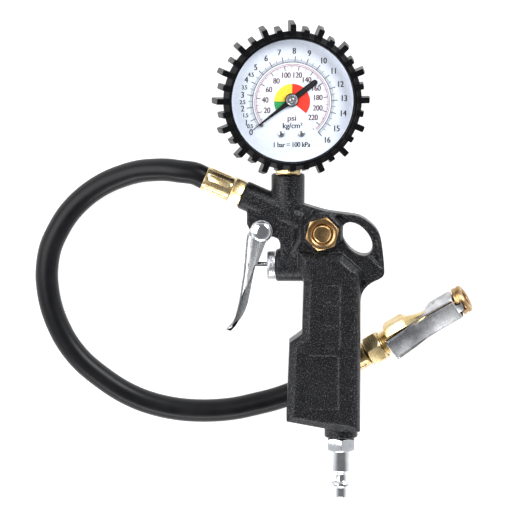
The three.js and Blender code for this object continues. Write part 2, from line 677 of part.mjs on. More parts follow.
// A round-wire compression spring is a sleeve here, from its fixed end to its moving end along +Y.
function springSleeve(name, outer, wire, from, to) {
  return mesh(name, sleeve(outer, outer - wire, from, to), finishes.steel);
}

// Along +Y of this group is +X of the gun, into the housing.
function valve() {
  const start = VALVE.front;
  const nut = turned([
    [2.1, start - 4.4], [7, start - 4.4], [7.6, start - 3.6], [7.6, start - GAP], [4.9, start - GAP],
    [4.9, start + 3.3], [2.1, start + 3.3], [2.1, start - 4.4],
  ]);
  const pushRod = turned([[0, -23.6], [1, -23.6], [1.75, -22.8], [1.75, 6], [0, 6]]);
  const poppet = turned([[0, 6.3], [3.4, 6.3], [4.3, 6.9], [4.3, 8.6], [2.2, 8.6], [2.2, 10.6], [0, 10.6]]);
  const made = group(
    mesh('valve_gland_nut', nut, finishes.nickel),
    mesh('valve_rod_seal', sleeve(3.6, 2.05, start + 3.7, start + 5.2), finishes.rubber),
    mesh('valve_seat', sleeve(4.9, 3, 2, 5.9), finishes.brass),
    mesh('push_rod', pushRod, finishes.chrome),
    mesh('valve_poppet', poppet, finishes.brass),
    springSleeve('valve_spring', 3.8, 1, 8.9, VALVE.end - GAP),
  );
  made.position.y = VALVE.y;
  made.rotation.z = -Math.PI / 2;
  return made;
}

// Along +Y of this group is +Z of the gun, out of the boss.
function bleedValve() {
  const top = BLEED.top;
  const hex = hexagon(16, top + GAP, top + 5.2, 1.2);
  const shank = rod(5, 3, top + 1);
  const recess = turned([[0, top + 2.4], [5.6, top + 2.4], [5.6, top + 4.4], [6.6, top + 6], [0, top + 6]]);
  const gland = cut(joined(hex, shank), recess, rod(2.3, -1, top + 4));
  const button = turned([
    [0, top + 4.4], [4.9, top + 4.4], [4.9, top + 5.6], [4.4, top + 6], [3.9, top + 5.6], [0, top + 5],
  ]);
  const stem = rod(1.7, 0, top + 4.6, SMALL);
  const made = group(
    mesh('bleed_gland', gland, finishes.bronze),
    mesh('bleed_button', joined(button, stem), finishes.bronze),
    springSleeve('bleed_spring', 3.6, 0.7, top + 2.7, top + 4.1),
    mesh('bleed_seal', sleeve(4, 2, 1.2, 2.7), finishes.rubber),
  );
  made.position.set(BLEED.x, BLEED.y, 0);
  made.rotation.x = Math.PI / 2;
  return made;
}

// The quick-connect plug screwed into the foot of the grip. Its own +Y points out of the grip.
function inletPlug() {
  const hex = hexagon(PLUG.flats, 0, 7, 1.2);
  const profile = turned([
    [0, -10], [5.6, -10], [5.6, 0.4], [6.05, 0.4], [6.05, 17.4], [5.4, 18.2], [4.2, 19], [3.9, 19.6],
    [3.9, 23.1], [5.2, 23.1], [5.9, 24.3], [5.9, 25.6], [5.2, 26.7], [4, 26.7], [4, 31.6], [3.3, 32.7],
    [0, 32.7],
  ], 20);
  const bore = rod(2.4, -11, 34, SMALL);
  const made = mesh('inlet_plug', cut(joined(hex, profile), bore), finishes.chrome);
  made.position.set(INLET.x, PLUG.face, 0);
  made.rotation.z = Math.PI;
  return made;
}

// --- trigger -----------------------------------------------------------------------------------------------

// A channel bent from strip: two side walls round the lug and a web along its outer edge.
function triggerLever() {
  const side = smooth([
    [-7.6, -1.6], [-8.4, -8], [-9.5, -21.5], [-11.8, -36.4], [-13.3, -43.3], [-15.2, -48.3], [-18.9, -52.5],
  ], 16);
  const inner = smooth([
    [-16.2, -51.6], [-14.7, -50.3], [-10.8, -46.3], [-7.3, -38.4], [-3.7, -20.6], [-2, -17.3], [2.3, -6],
  ], 16);
  const ear = circleArc(LEVER.ear, -62 * DEGREE, 150 * DEGREE, 14);
  const block = plate([...side, ...inner, ...ear], -LEVER.half, LEVER.half, 0.3);
  const webInner = side.map(([x, y]) => [x + LEVER.wall, y + 0.35]);
  const hollow = plate([
    ...webInner, [20, -60], [20, 20], [-12, 20], [-12, 4], [webInner[0][0], 1],
  ], -LEVER.half + LEVER.wall, LEVER.half - LEVER.wall);
  const pinHole = rod(2.6, -12, 12, SMALL).rotateX(Math.PI / 2);
  return mesh('trigger_lever', cut(block, hollow, pinHole), finishes.chrome);
}

function triggerPin() {
  const face = LEVER.half + GAP;
  const shape = turned([
    [0, -face - 2.2], [1.9, -face - 2.2], [2.05, -face - 1.9], [2.05, -face - 1.4], [1.6, -face - 1.4],
    [1.6, -face - 0.4], [2.05, -face - 0.4], [2.05, face], [5, face], [5, face + 0.7], [4, face + 1.7],
    [2.2, face + 2.3], [0, face + 2.5],
  ]);
  return mesh('trigger_pin', shape.rotateX(Math.PI / 2), finishes.chrome);
}

function pinClip() {
  const face = -LEVER.half - GAP;
  const disc = sleeve(3.8, 1.85, face - 1.2, face - 0.6, 20).rotateX(Math.PI / 2);
  const mouth = box([-1.4, -6, face - 3], [1.4, -1, face + 1]);
  return mesh('pin_clip', cut(disc, mouth), finishes.steel);
}

function trigger() {
  const made = group(triggerLever(), triggerPin(), pinClip());
  made.position.set(...PIVOT, 0);
  return made;
}

// --- hose --------------------------------------------------------------------------------------------------

// A crimped sleeve along +Y over the end of the hose.
function ferrule(name, from) {
  const { radius, inner, length } = FERRULE;
  const shape = turned([
    [inner, from], [radius - 0.4, from], [radius, from + 0.5], [radius, from + length - 0.5],
    [radius - 0.4, from + length], [inner, from + length], [inner, from],
  ]);
  return mesh(name, shape, finishes.brass);
}

// The fitting in the outlet, along +Y out of the boss: thread, hexagon and barb.
function outletFitting() {
  const hex = hexagon(14, GAP, 6.6, 0.9);
  const shape = cut(joined(hex, rod(5, -10, 0.6), rod(BARB, 6, 21.5)), rod(1.7, -11, 23, SMALL));
  return mesh('hose_fitting', shape, finishes.brass);
}

function outlet() {
  return along(group(outletFitting(), ferrule('hose_ferrule_gun', 6.9)), [...OUTLET.face, 0], OUTLET.angle);
}

// The hose: an even tube, turned down where each ferrule crimps it and bored for the barbs.
function hose() {
  const points = HOSE_ROUTE.map((point) => new THREE.Vector3(...point));
  const curve = new THREE.CatmullRomCurve3(points, false, 'centripetal');
  const section = new THREE.Shape(ring(HOSE.sides, (_, angle) => (
    new THREE.Vector2(HOSE.radius * Math.cos(angle), HOSE.radius * Math.sin(angle))
  )));
  const tube = new THREE.ExtrudeGeometry(section, { steps: 50, bevelEnabled: false, extrudePath: curve });
  const ends = [
    [points[0], curve.getTangentAt(0.004)],
    [points[points.length - 1], curve.getTangentAt(0.996).negate()],
  ];
  const tools = ends.flatMap(([end, inward]) => [
    aimed(sleeve(HOSE.radius + 3, HOSE.crimped, -2, HOSE.crimp), end.toArray(), inward.toArray()),
    aimed(rod(HOSE.bore, -2, HOSE.crimp), end.toArray(), inward.toArray()),
  ]);
  return mesh('hose', cut(tube, ...tools), finishes.rubber);
}

// --- chuck -------------------------------------------------------------------------------------------------

function hoseTail() {
  const shape = turned([
    [0, -48], [BARB, -48], [BARB, -33.2], [3.6, -33.2], [3.6, -31.4], [6.1, -31.4], [6.1, -29], [4.4, -27.4],
    [0, -27.4],
  ]);
  return mesh('hose_tail', cut(shape, rod(1.7, -49, -20, SMALL)), finishes.brass);
}

function swivelNut() {
  const outside = hexagon(15, -32.6, -24, 1.3).rotateY(30 * DEGREE);
  const inside = turned([[0, -34], [3.9, -34], [3.9, -31.8], [6.8, -31.8], [6.8, -23], [0, -23]]);
  return mesh('swivel_nut', cut(outside, inside), finishes.brass);
}

// The clip leans over to one side of the chuck, and so does what it works with.
function leaned(geometry) {
  return geometry.rotateY(CLIP.roll);
}

// A rod along the clip's hinge line.
function acrossClip(radius, reach) {
  return leaned(aimed(rod(radius, -reach, reach, SMALL), [0, CLIP_PIN.reach, -CLIP_PIN.sink], [1, 0, 0]));
}

function chuckBody() {
  const { corner, cornerAngle, neck, passage } = CHUCK;
  const hex = new THREE.CylinderGeometry(corner, corner, 12.5, 6);
  hex.rotateY(-cornerAngle).translate(0, -12.75, 0);
  const dome = turned([[0, -19], [8.4, -19], [corner, -17.6], [corner, -9], [8.6, -6.5], [0, -6.5]]);
  const stem = turned([
    [0, -27], [6.3, -27], [6.5, -26.6], [6.5, -18], [8.2, -7], [7, -3.5], [6, -0.5], [neck, 2.4],
    [neck, 16], [0, 16],
  ]);
  const thumbRoom = leaned(box([-CLIP.half - 0.8, -20, THUMB_FLAT], [CLIP.half + 0.8, -2, 14]));
  const shape = cut(joined(common(hex, dome), stem), thumbRoom, acrossClip(CLIP_PIN.radius + 0.25, 9),
    rod(4.3, 13.4, 17), rod(passage, -28, 14, 10));
  return mesh('chuck_body', shape, finishes.brass);
}

// The nose carries the rubber seal and has a window for the clip's tooth.
function chuckNose() {
  const { collar, mouth, neck } = CHUCK;
  const shell = turned([
    [mouth, 16.3], [neck, 16.3], [neck, 22.7], [collar, 23.2], [collar, 27], [collar - 0.9, 28],
    [mouth + 0.6, 28], [mouth, 27.4], [mouth, 16.3],
  ], 20);
  return mesh('chuck_nose', cut(shell, leaned(box([-2.8, 22, 3.8], [2.8, 26.2, 10]))), finishes.bronze);
}

function chuckSeal() {
  return mesh('chuck_seal', sleeve(4.2, 1.9, 16.6, 19.8), finishes.rubber);
}

function chuckDepressor() {
  const disc = rod(4, 14, 15.2);
  const ports = ring(3, (_, angle) => rod(0.9, 13, 16, SMALL).translate(2.6, 0, 0).rotateY(angle));
  return mesh('chuck_depressor', joined(cut(disc, ...ports), rod(0.9, 14.5, 18.4, SMALL)), finishes.brass);
}

// The clip is a channel with its web over the chuck, the tail splayed out and an ear each side of the pin.
// Its outline is drawn with X along the chuck and Y away from the chuck's axis.
function chuckClip() {
  const { half, wall, level, splay, tail, front } = CLIP;
  const side = [
    [front, level], [3.4, level], [tail, splay], [tail + 2, 10], [-8, 8.2], [2, 6.2], [4.4, 4.6], [6.4, -1.4],
    [9.4, -4.3], [front - 1.6, -4.3], [front, -3],
  ];
  const hollow = [
    [tail - 2, splay - wall + 0.33], [3.3, level - wall], [front + 2, level - wall], [front + 2, -12],
    [tail - 2, -12],
  ];
  const channel = cut(plate(side, -half, half, 0.25), plate(hollow, -half + wall, half - wall));
  const tongue = box([front - 0.6, level - wall, -TOOTH.half], [TOOTH.front, level, TOOTH.half]);
  const tooth = box([TOOTH.back, TOOTH.tip, -TOOTH.half], [TOOTH.front, level, TOOTH.half]);
  const { reach, sink, radius } = CLIP_PIN;
  const pinHole = aimed(rod(radius + 0.2, -12, 12, SMALL), [reach, -sink, 0], [0, 0, 1]);
  const upright = new THREE.Matrix4().makeBasis(
    new THREE.Vector3(0, 1, 0), new THREE.Vector3(0, 0, 1), new THREE.Vector3(1, 0, 0),
  );
  const shape = cut(joined(channel, tongue, tooth), pinHole).applyMatrix4(upright);
  return mesh('chuck_clip', leaned(shape), finishes.nickel);
}

function clipPin() {
  return mesh('clip_pin', acrossClip(CLIP_PIN.radius, CLIP.half + 0.5), finishes.steel);
}

function clipSpring() {
  const shape = aimed(sleeve(2.3, 1.7, THUMB_FLAT + GAP, 9.4, 16), [0, -14, 0], [0, 0, 1]);
  return mesh('clip_spring', leaned(shape), finishes.steel);
}

// Along +Y of this group is the chuck's axis, out of its mouth.
function chuck() {
  const made = group(
    ferrule('hose_ferrule_chuck', -49), hoseTail(), swivelNut(), chuckBody(), chuckNose(), chuckSeal(),
    chuckDepressor(), chuckClip(), clipPin(), clipSpring(),
  );
  made.position.set(...CHUCK_ORIGIN);
  made.rotation.set(CHUCK_RISE, 0, CHUCK_HEADING - Math.PI / 2, 'ZXY');
  return made;
}

const gun = group(gunBody(), gauge(), valve(), bleedValve(), inletPlug(), trigger(), outlet());
gun.position.set(...GUN_ORIGIN);
gun.rotation.x = -GUN_PITCH;

export default group(gun, hose(), chuck());
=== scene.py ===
# The looks of a tyre inflator gun: a dial gauge in a lugged rubber boot, a black casting, a chrome trigger,
# a brass bleed valve, a quick plug and a rubber hose with a clip-on chuck, lying on a pale bench.
#
# Shapes are drawn in millimetres in the frame of the piece that they belong to, and go into Blender in
# metres.
import json
import math

import bmesh
import bpy
from mathutils import Matrix, Vector


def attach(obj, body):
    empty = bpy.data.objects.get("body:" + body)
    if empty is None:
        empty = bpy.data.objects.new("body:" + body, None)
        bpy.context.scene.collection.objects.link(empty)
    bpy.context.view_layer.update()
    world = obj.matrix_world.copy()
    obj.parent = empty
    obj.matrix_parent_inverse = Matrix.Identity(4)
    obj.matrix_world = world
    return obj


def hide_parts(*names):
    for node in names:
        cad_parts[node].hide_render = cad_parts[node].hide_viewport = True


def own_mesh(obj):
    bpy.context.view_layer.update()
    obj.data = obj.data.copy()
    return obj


MM = 0.001

# A length that counts as nothing.
TINY = 1e-6

# Sides of a large, an ordinary and a small round.
FINE = 128
ROUND = 72
SMALL = 36

# Edges that turn by more than this are rounded, where a piece asks for it, and shaded as sharp.
SHARP = math.radians(32)

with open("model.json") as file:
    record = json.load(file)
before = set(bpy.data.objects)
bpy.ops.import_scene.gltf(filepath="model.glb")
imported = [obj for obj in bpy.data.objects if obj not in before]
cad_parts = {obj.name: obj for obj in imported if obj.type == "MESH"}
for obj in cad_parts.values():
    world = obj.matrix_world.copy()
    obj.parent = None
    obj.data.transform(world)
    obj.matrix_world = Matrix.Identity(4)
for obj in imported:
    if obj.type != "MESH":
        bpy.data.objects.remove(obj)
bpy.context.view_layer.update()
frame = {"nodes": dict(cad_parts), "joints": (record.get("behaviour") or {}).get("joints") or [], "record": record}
joints = {joint["name"]: joint for joint in frame["joints"]}
mounts = {mount["name"]: mount for mount in frame["record"]["mounts"]}

# --- frames ---

# The trigger's pin in X and Y of the gun's frame, and the clip's pin in Y and Z of the chuck's.
PIVOT = (-16.3, -70)
CLIP_PIN = (11.5, -1.9)


def frame_of(origin, x, y, z):
    """A frame from its origin and its three axes."""
    matrix = Matrix((x, y, z)).transposed().to_4x4()
    matrix.translation = origin
    return matrix


def gun_frame():
    """Origin in the middle of the gauge, X across, Y to the top of the gauge and Z out of the dial."""
    joint = joints["trigger_pull"]
    x = Vector((1, 0, 0))
    z = Vector(joint["axis"]).normalized()
    y = z.cross(x)
    origin = Vector(joint["pos_m"]) - (x * PIVOT[0] + y * PIVOT[1]) * MM
    return frame_of(origin, x, y, z)


def gauge_frame():
    """Origin on the pointer's axis, Y to the top of the gauge and Z out of the dial."""
    joint = joints["pointer_spin"]
    z = Vector(joint["axis"]).normalized()
    y = GUN.to_3x3() @ Vector((0, 1, 0))
    return frame_of(Vector(joint["pos_m"]), y.cross(z), y, z)


def chuck_frame():
    """Y along the chuck and out of its mouth, Z towards the clip's web."""
    joint = joints["clip_open"]
    x = Vector(joint["axis"]).normalized()
    y = Vector(mounts["chuck_mouth"]["axis"]).normalized()
    z = x.cross(y)
    return frame_of(Vector(joint["pos_m"]) - (y * CLIP_PIN[0] + z * CLIP_PIN[1]) * MM, x, y, z)


def along(base, origin, direction, up=(0, 0, 1)):
    """A frame in another one, with its Y along the direction and its Z as near to up as it can be."""
    y = Vector(direction).normalized()
    x = y.cross(Vector(up)).normalized()
    return base @ frame_of(Vector(origin) * MM, x, y, x.cross(y))


GUN = gun_frame()
GAUGE = gauge_frame()
CHUCK = chuck_frame()

# Frames of the parts that are turned about one axis. Each has its Y along that axis.
OUTLET_ANGLE = math.radians(156.5)
OUTLET = along(GUN, (-26.3, -51.05, 0), (math.cos(OUTLET_ANGLE), math.sin(OUTLET_ANGLE), 0))
VALVE = along(GUN, (0, -88.8, 0), (1, 0, 0))
BLEED = along(GUN, (15.9, -70.7, 0), (0, 0, 1), (0, -1, 0))
PLUG = along(GUN, (26.25, -181.6, 0), (0, -1, 0))
STEM = along(GAUGE, (-0.55, 0, 0), (0, 1, 0))

# --- camera and light ---

VIEW_WIDTH = 0.2777
VIEW_DISTANCE = 2.7
VIEW_LEAN = math.radians(9.2)
VIEW_TARGET = (-16.5, -86.7, 0)


def add_camera():
    data = bpy.data.cameras.new("camera")
    data.lens = data.sensor_width * VIEW_DISTANCE / VIEW_WIDTH
    data.clip_end = 20
    camera = bpy.data.objects.new("camera", data)
    bpy.context.scene.collection.objects.link(camera)
    z = Vector((0, math.sin(VIEW_LEAN), math.cos(VIEW_LEAN)))
    x = Vector((1, 0, 0))
    target = GUN @ (Vector(VIEW_TARGET) * MM)
    camera.matrix_world = frame_of(target + z * VIEW_DISTANCE, x, z.cross(x), z)
    bpy.context.scene.camera = camera


def add_light(name, place, size, power, colour=(1, 1, 1)):
    data = bpy.data.lights.new(name, "AREA")
    data.shape = "RECTANGLE"
    data.size, data.size_y = size
    data.energy = power
    data.color = colour
    light = bpy.data.objects.new(name, data)
    light.location = place
    light.rotation_euler = (-Vector(place)).to_track_quat("-Z", "Y").to_euler()
    bpy.context.scene.collection.objects.link(light)


def add_studio():
    """A room that is dim overhead and bright along the horizon, with two softboxes and a low strip light."""
    world = bpy.data.worlds.new("studio")
    bpy.context.scene.world = world
    world.use_nodes = True
    nodes = world.node_tree.nodes
    links = world.node_tree.links
    background = nodes["Background"]
    background.inputs["Color"].default_value = (0.95, 0.97, 1, 1)
    place = nodes.new("ShaderNodeTexCoord")
    split = nodes.new("ShaderNodeSeparateXYZ")
    links.new(place.outputs["Generated"], split.inputs["Vector"])
    links.new(ramp(nodes, links, split.outputs["Z"], 0.25, 0.8, 0.95, 0.2), background.inputs["Strength"])
    add_light("left_box", (-0.85, 0.3, 0.9), (1.1, 1.1), 17)
    add_light("right_box", (0.85, 0.85, 0.8), (0.7, 0.7), 21, (0.96, 0.98, 1))
    add_light("low_strip", (-0.2, -1.0, 0.45), (1.1, 0.2), 8)
    bpy.context.scene.view_settings.view_transform = "Standard"
    bpy.context.scene.view_settings.look = "None"


def add_floor():
    half = 1.6
    corners = [(-half, -half, 0), (half, -half, 0), (half, half, 0), (-half, half, 0)]
    mesh = bpy.data.meshes.new("floor")
    mesh.from_pydata(corners, [], [(0, 1, 2, 3)])
    floor = bpy.data.objects.new("floor", mesh)
    bpy.context.scene.collection.objects.link(floor)
    floor.data.materials.append(floor_paper())


# --- materials ---


def start(name, colour, roughness, metallic=0.0, **sockets):
    """A new material with its Principled shader set, and the nodes and links that build on it."""
    material = bpy.data.materials.new(name)
    material.use_nodes = True
    nodes = material.node_tree.nodes
    shader = nodes["Principled BSDF"]
    shader.inputs["Base Color"].default_value = (*colour, 1)
    shader.inputs["Roughness"].default_value = roughness
    shader.inputs["Metallic"].default_value = metallic
    for socket, value in sockets.items():
        shader.inputs[socket.replace("_", " ")].default_value = value
    return material, nodes, material.node_tree.links, shader


def noise(nodes, links, scale, detail=3.0, roughness=0.55, stretch=(1, 1, 1)):
    """A noise pattern in the piece's own frame, its scale in patterns a metre."""
    place = nodes.new("ShaderNodeTexCoord")
    mapping = nodes.new("ShaderNodeMapping")
    mapping.inputs["Scale"].default_value = stretch
    pattern = nodes.new("ShaderNodeTexNoise")
    pattern.inputs["Scale"].default_value = scale
    pattern.inputs["Detail"].default_value = detail
    pattern.inputs["Roughness"].default_value = roughness
    links.new(place.outputs["Object"], mapping.inputs["Vector"])
    links.new(mapping.outputs["Vector"], pattern.inputs["Vector"])
    return pattern.outputs["Fac"]


def ramp(nodes, links, source, low, high, start_value, end_value):
    """The source taken from one range to another, and held at the ends."""
    node = nodes.new("ShaderNodeMapRange")
    node.inputs["From Min"].default_value = low
    node.inputs["From Max"].default_value = high
    node.inputs["To Min"].default_value = start_value
    node.inputs["To Max"].default_value = end_value
    links.new(source, node.inputs["Value"])
    return node.outputs["Result"]


def tint(nodes, links, source, low, high, shader, dark, light):
    """Colours the shader dark where the source is low and light where it is high."""
    factor = ramp(nodes, links, source, low, high, 0, 1)
    mix = nodes.new("ShaderNodeMix")
    mix.data_type = "RGBA"
    mix.inputs["A"].default_value = (*dark, 1)
    mix.inputs["B"].default_value = (*light, 1)
    links.new(factor, mix.inputs["Factor"])
    links.new(mix.outputs["Result"], shader.inputs["Base Color"])


def wear(nodes, links, source, low, high, shader, smooth, rough):
    """Makes the shader smooth where the source is low and rough where it is high."""
    links.new(ramp(nodes, links, source, low, high, smooth, rough), shader.inputs["Roughness"])


def bump(nodes, links, source, shader, height_mm, strength):
    node = nodes.new("ShaderNodeBump")
    node.inputs["Distance"].default_value = height_mm * MM
    node.inputs["Strength"].default_value = strength
    links.new(source, node.inputs["Height"])
    links.new(node.outputs["Normal"], shader.inputs["Normal"])


def powder_coat():
    """Black powder coat over die-cast metal: a pebbled skin whose tops catch the light, with sparse bright flecks
    painted into its colour as glints.
    """
    black = (0.006, 0.006, 0.007)
    material, nodes, links, shader = start("powder_coat", black, 0.35, Specular_IOR_Level=0.24)
    grain = noise(nodes, links, 1500, 2.0, 0.65)
    painted_glints = noise(nodes, links, 2000, 1.0, 0.5)
    blotch = noise(nodes, links, 90, 2.0, 0.5)
    # Painted glints: sparse bright flecks in the colour that stand for light caught by the pebbles' tops.
    tint(nodes, links, painted_glints, 0.58, 0.67, shader, (0.004, 0.004, 0.005), (0.09, 0.09, 0.095))
    wear(nodes, links, blotch, 0.3, 0.7, shader, 0.28, 0.4)
    bump(nodes, links, grain, shader, 0.16, 0.85)
    return material


def moulded_rubber():
    """Black rubber with a fine moulded skin."""
    black = (0.002, 0.002, 0.003)
    material, nodes, links, shader = start("moulded_rubber", black, 0.34, Specular_IOR_Level=0.13)
    skin = noise(nodes, links, 900)
    tint(nodes, links, skin, 0.35, 0.7, shader, (0.0015, 0.0015, 0.002), (0.004, 0.004, 0.005))
    wear(nodes, links, noise(nodes, links, 120), 0.3, 0.7, shader, 0.28, 0.4)
    bump(nodes, links, skin, shader, 0.03, 0.6)
    return material


def hose_skin():
    """Black rubber hose, slightly dusty."""
    black = (0.004, 0.004, 0.005)
    material, nodes, links, shader = start("hose_skin", black, 0.36, Specular_IOR_Level=0.2)
    skin = noise(nodes, links, 1300, 2.0)
    dust = noise(nodes, links, 60, 4.0, 0.6)
    tint(nodes, links, dust, 0.35, 0.75, shader, (0.003, 0.003, 0.004), (0.007, 0.007, 0.008))
    wear(nodes, links, dust, 0.3, 0.7, shader, 0.32, 0.42)
    bump(nodes, links, skin, shader, 0.02, 0.5)
    return material


def machined(name, dark, light, roughness, spread=0.08, score=0.004):
    """Turned or milled metal: fine tool lines around the piece's own Y axis and an uneven tarnish."""
    material, nodes, links, shader = start(name, light, roughness, 1.0)
    lines = noise(nodes, links, 700, 2.0, 0.6, (0.25, 9, 0.25))
    cloud = noise(nodes, links, 160)
    tint(nodes, links, cloud, 0.3, 0.68, shader, dark, light)
    wear(nodes, links, lines, 0.3, 0.7, shader, roughness, roughness + spread)
    bump(nodes, links, lines, shader, score, 0.6)
    return material


def rough_nickel():
    """Plated metal with a pitted, sparkling skin."""
    material, nodes, links, shader = start("rough_nickel", (0.6, 0.6, 0.62), 0.32, 1.0)
    pits = noise(nodes, links, 1500, 2.0, 0.6)
    tint(nodes, links, pits, 0.35, 0.65, shader, (0.28, 0.29, 0.31), (0.9, 0.9, 0.92))
    bump(nodes, links, pits, shader, 0.2, 0.9)
    return material


def brushed(name, dark, light, score):
    """Bent plate: bright, with fine lines along the piece's own Y axis and soft clouds."""
    material, nodes, links, shader = start(name, light, 0.3, 1.0)
    lines = noise(nodes, links, 900, 2.0, 0.6, (7, 0.5, 7))
    cloud = noise(nodes, links, 90, 2.0)
    tint(nodes, links, cloud, 0.38, 0.62, shader, dark, light)
    wear(nodes, links, lines, 0.3, 0.7, shader, 0.22, 0.38)
    bump(nodes, links, lines, shader, score, 0.6)
    return material


def printed(name, colour, roughness=0.5):
    """Screen ink or enamel, slightly uneven."""
    material, nodes, links, shader = start(name, colour, roughness, Specular_IOR_Level=0.3)
    cloud = noise(nodes, links, 500, 2.0)
    lighter = [min(1, value * 1.06 + 0.004) for value in colour]
    tint(nodes, links, cloud, 0.35, 0.65, shader, colour, lighter)
    return material


def clear_pane():
    """A thin clear pane: what is behind shows through, and it mirrors more at a glancing angle."""
    material = bpy.data.materials.new("clear_pane")
    material.use_nodes = True
    nodes = material.node_tree.nodes
    links = material.node_tree.links
    nodes.remove(nodes["Principled BSDF"])
    through = nodes.new("ShaderNodeBsdfTransparent")
    through.inputs["Color"].default_value = (0.99, 0.995, 1, 1)
    mirror = nodes.new("ShaderNodeBsdfGlossy")
    mirror.inputs["Roughness"].default_value = 0.03
    glance = nodes.new("ShaderNodeLayerWeight")
    mix = nodes.new("ShaderNodeMixShader")
    links.new(ramp(nodes, links, glance.outputs["Facing"], 0.4, 1, 0.01, 0.35), mix.inputs["Fac"])
    links.new(through.outputs["BSDF"], mix.inputs[1])
    links.new(mirror.outputs["BSDF"], mix.inputs[2])
    links.new(mix.outputs["Shader"], nodes["Material Output"].inputs["Surface"])
    return material


def floor_paper():
    """White paper that glows a little, as a lit table does, so shadows on it stay pale."""
    glow = {"Emission_Strength": 0.72, "Emission_Color": (1, 1, 1, 1)}
    material, nodes, links, shader = start("floor_paper", (0.5, 0.5, 0.5), 0.8, **glow)
    bump(nodes, links, noise(nodes, links, 400), shader, 0.02, 0.3)
    return material


FINISH = {
    "casting": powder_coat(),
    "boot_rubber": moulded_rubber(),
    "seal_rubber": moulded_rubber(),
    "hose_rubber": hose_skin(),
    "case_black": printed("case_enamel", (0.008, 0.008, 0.009), 0.3),
    "pointer_black": printed("pointer_enamel", (0.006, 0.006, 0.006), 0.45),
    "dial": printed("dial_face", (0.72, 0.75, 0.82), 0.5),
    "lens": clear_pane(),
    "steel": machined("steel", (0.33, 0.34, 0.36), (0.56, 0.57, 0.59), 0.25),
    "chrome": machined("chrome", (0.72, 0.73, 0.75), (0.9, 0.91, 0.93), 0.08, 0.06, 0.001),
    "nickel": brushed("brushed_nickel", (0.36, 0.36, 0.38), (0.74, 0.74, 0.75), 0.006),
    "brass": machined("brass", (0.6, 0.43, 0.18), (0.86, 0.7, 0.42), 0.24),
    "bronze": machined("bronze", (0.3, 0.18, 0.08), (0.48, 0.31, 0.15), 0.24),
}

# --- mesh helpers ---


def soft(points, radius, closed=False, steps=3):
    """The line through the points with its corners rounded, by no more than the sides next to them allow."""
    straightest, sharpest, most = math.radians(88), math.radians(5), 0.45
    count = len(points)
    result = []
    for i, here in enumerate(points):
        here = Vector(here)
        before, after = Vector(points[i - 1]), Vector(points[(i + 1) % count])
        into, out = before - here, after - here
        if (not closed and i in (0, count - 1)) or into.length < TINY or out.length < TINY:
            result.append(tuple(here))
            continue
        half = into.angle(out) / 2
        if half > straightest or half < sharpest:
            result.append(tuple(here))
            continue
        reach = min(radius / math.tan(half), most * into.length, most * out.length)
        first, last = here + into.normalized() * reach, here + out.normalized() * reach
        for step in range(steps + 1):
            t = step / steps
            result.append(tuple((1 - t) ** 2 * first + 2 * t * (1 - t) * here + t * t * last))
    return result


def curve_points(points, samples):
    """A smooth line through the points: a uniform Catmull-Rom curve."""
    before = tuple(2 * a - b for a, b in zip(points[0], points[1]))
    after = tuple(2 * a - b for a, b in zip(points[-1], points[-2]))
    line = [before, *points, after]
    result = []
    for i in range(1, len(line) - 2):
        p0, p1, p2, p3 = (Vector(line[i + k]) for k in (-1, 0, 1, 2))
        for step in range(samples):
            t = step / samples
            value = 0.5 * (2 * p1 + (p2 - p0) * t + (2 * p0 - 5 * p1 + 4 * p2 - p3) * t * t
                           + (3 * p1 - p0 - 3 * p2 + p3) * t ** 3)
            result.append(tuple(value))
    return [*result, tuple(points[-1])]


def arc(centre, radius, start_angle, end_angle, steps):
    """Points on an arc; the angles are in degrees."""
    angles = (math.radians(start_angle + (end_angle - start_angle) * i / steps) for i in range(steps + 1))
    return [(centre[0] + radius * math.cos(a), centre[1] + radius * math.sin(a)) for a in angles]


def revolve(profile, sides=ROUND):
    """A profile of (radius, height) turned about Y, closed on the axis or on itself."""
    bm = bmesh.new()
    closed = Vector(profile[0]) == Vector(profile[-1])
    if closed:
        profile = profile[:-1]
    rings = []
    for radius, height in profile:
        if radius < TINY:
            rings.append([bm.verts.new((0, height, 0))] * sides)
            continue
        angles = (2 * math.pi * i / sides for i in range(sides))
        rings.append([bm.verts.new((radius * math.sin(a), height, radius * math.cos(a))) for a in angles])
    pairs = list(zip(rings, rings[1:]))
    if closed:
        pairs.append((rings[-1], rings[0]))
    for low, high in pairs:
        for i in range(sides):
            j = (i + 1) % sides
            corners = list(dict.fromkeys([low[i], low[j], high[j], high[i]]))
            if len(corners) > 2:
                bm.faces.new(corners)
    bmesh.ops.recalc_face_normals(bm, faces=bm.faces)
    return bm


def prism(outline, low, high):
    """The outline in X and Y as a solid between two heights."""
    bm = bmesh.new()
    bottom = [bm.verts.new((*point, low)) for point in outline]
    top = [bm.verts.new((*point, high)) for point in outline]
    bm.faces.new(bottom)
    bm.faces.new(top)
    for i in range(len(outline)):
        j = (i + 1) % len(outline)
        bm.faces.new((bottom[i], bottom[j], top[j], top[i]))
    bmesh.ops.recalc_face_normals(bm, faces=bm.faces)
    return bm


def block(low, high):
    """A box from its lowest corner to its highest."""
    x, y = (low[0], high[0]), (low[1], high[1])
    return prism([(x[0], y[0]), (x[1], y[0]), (x[1], y[1]), (x[0], y[1])], low[2], high[2])


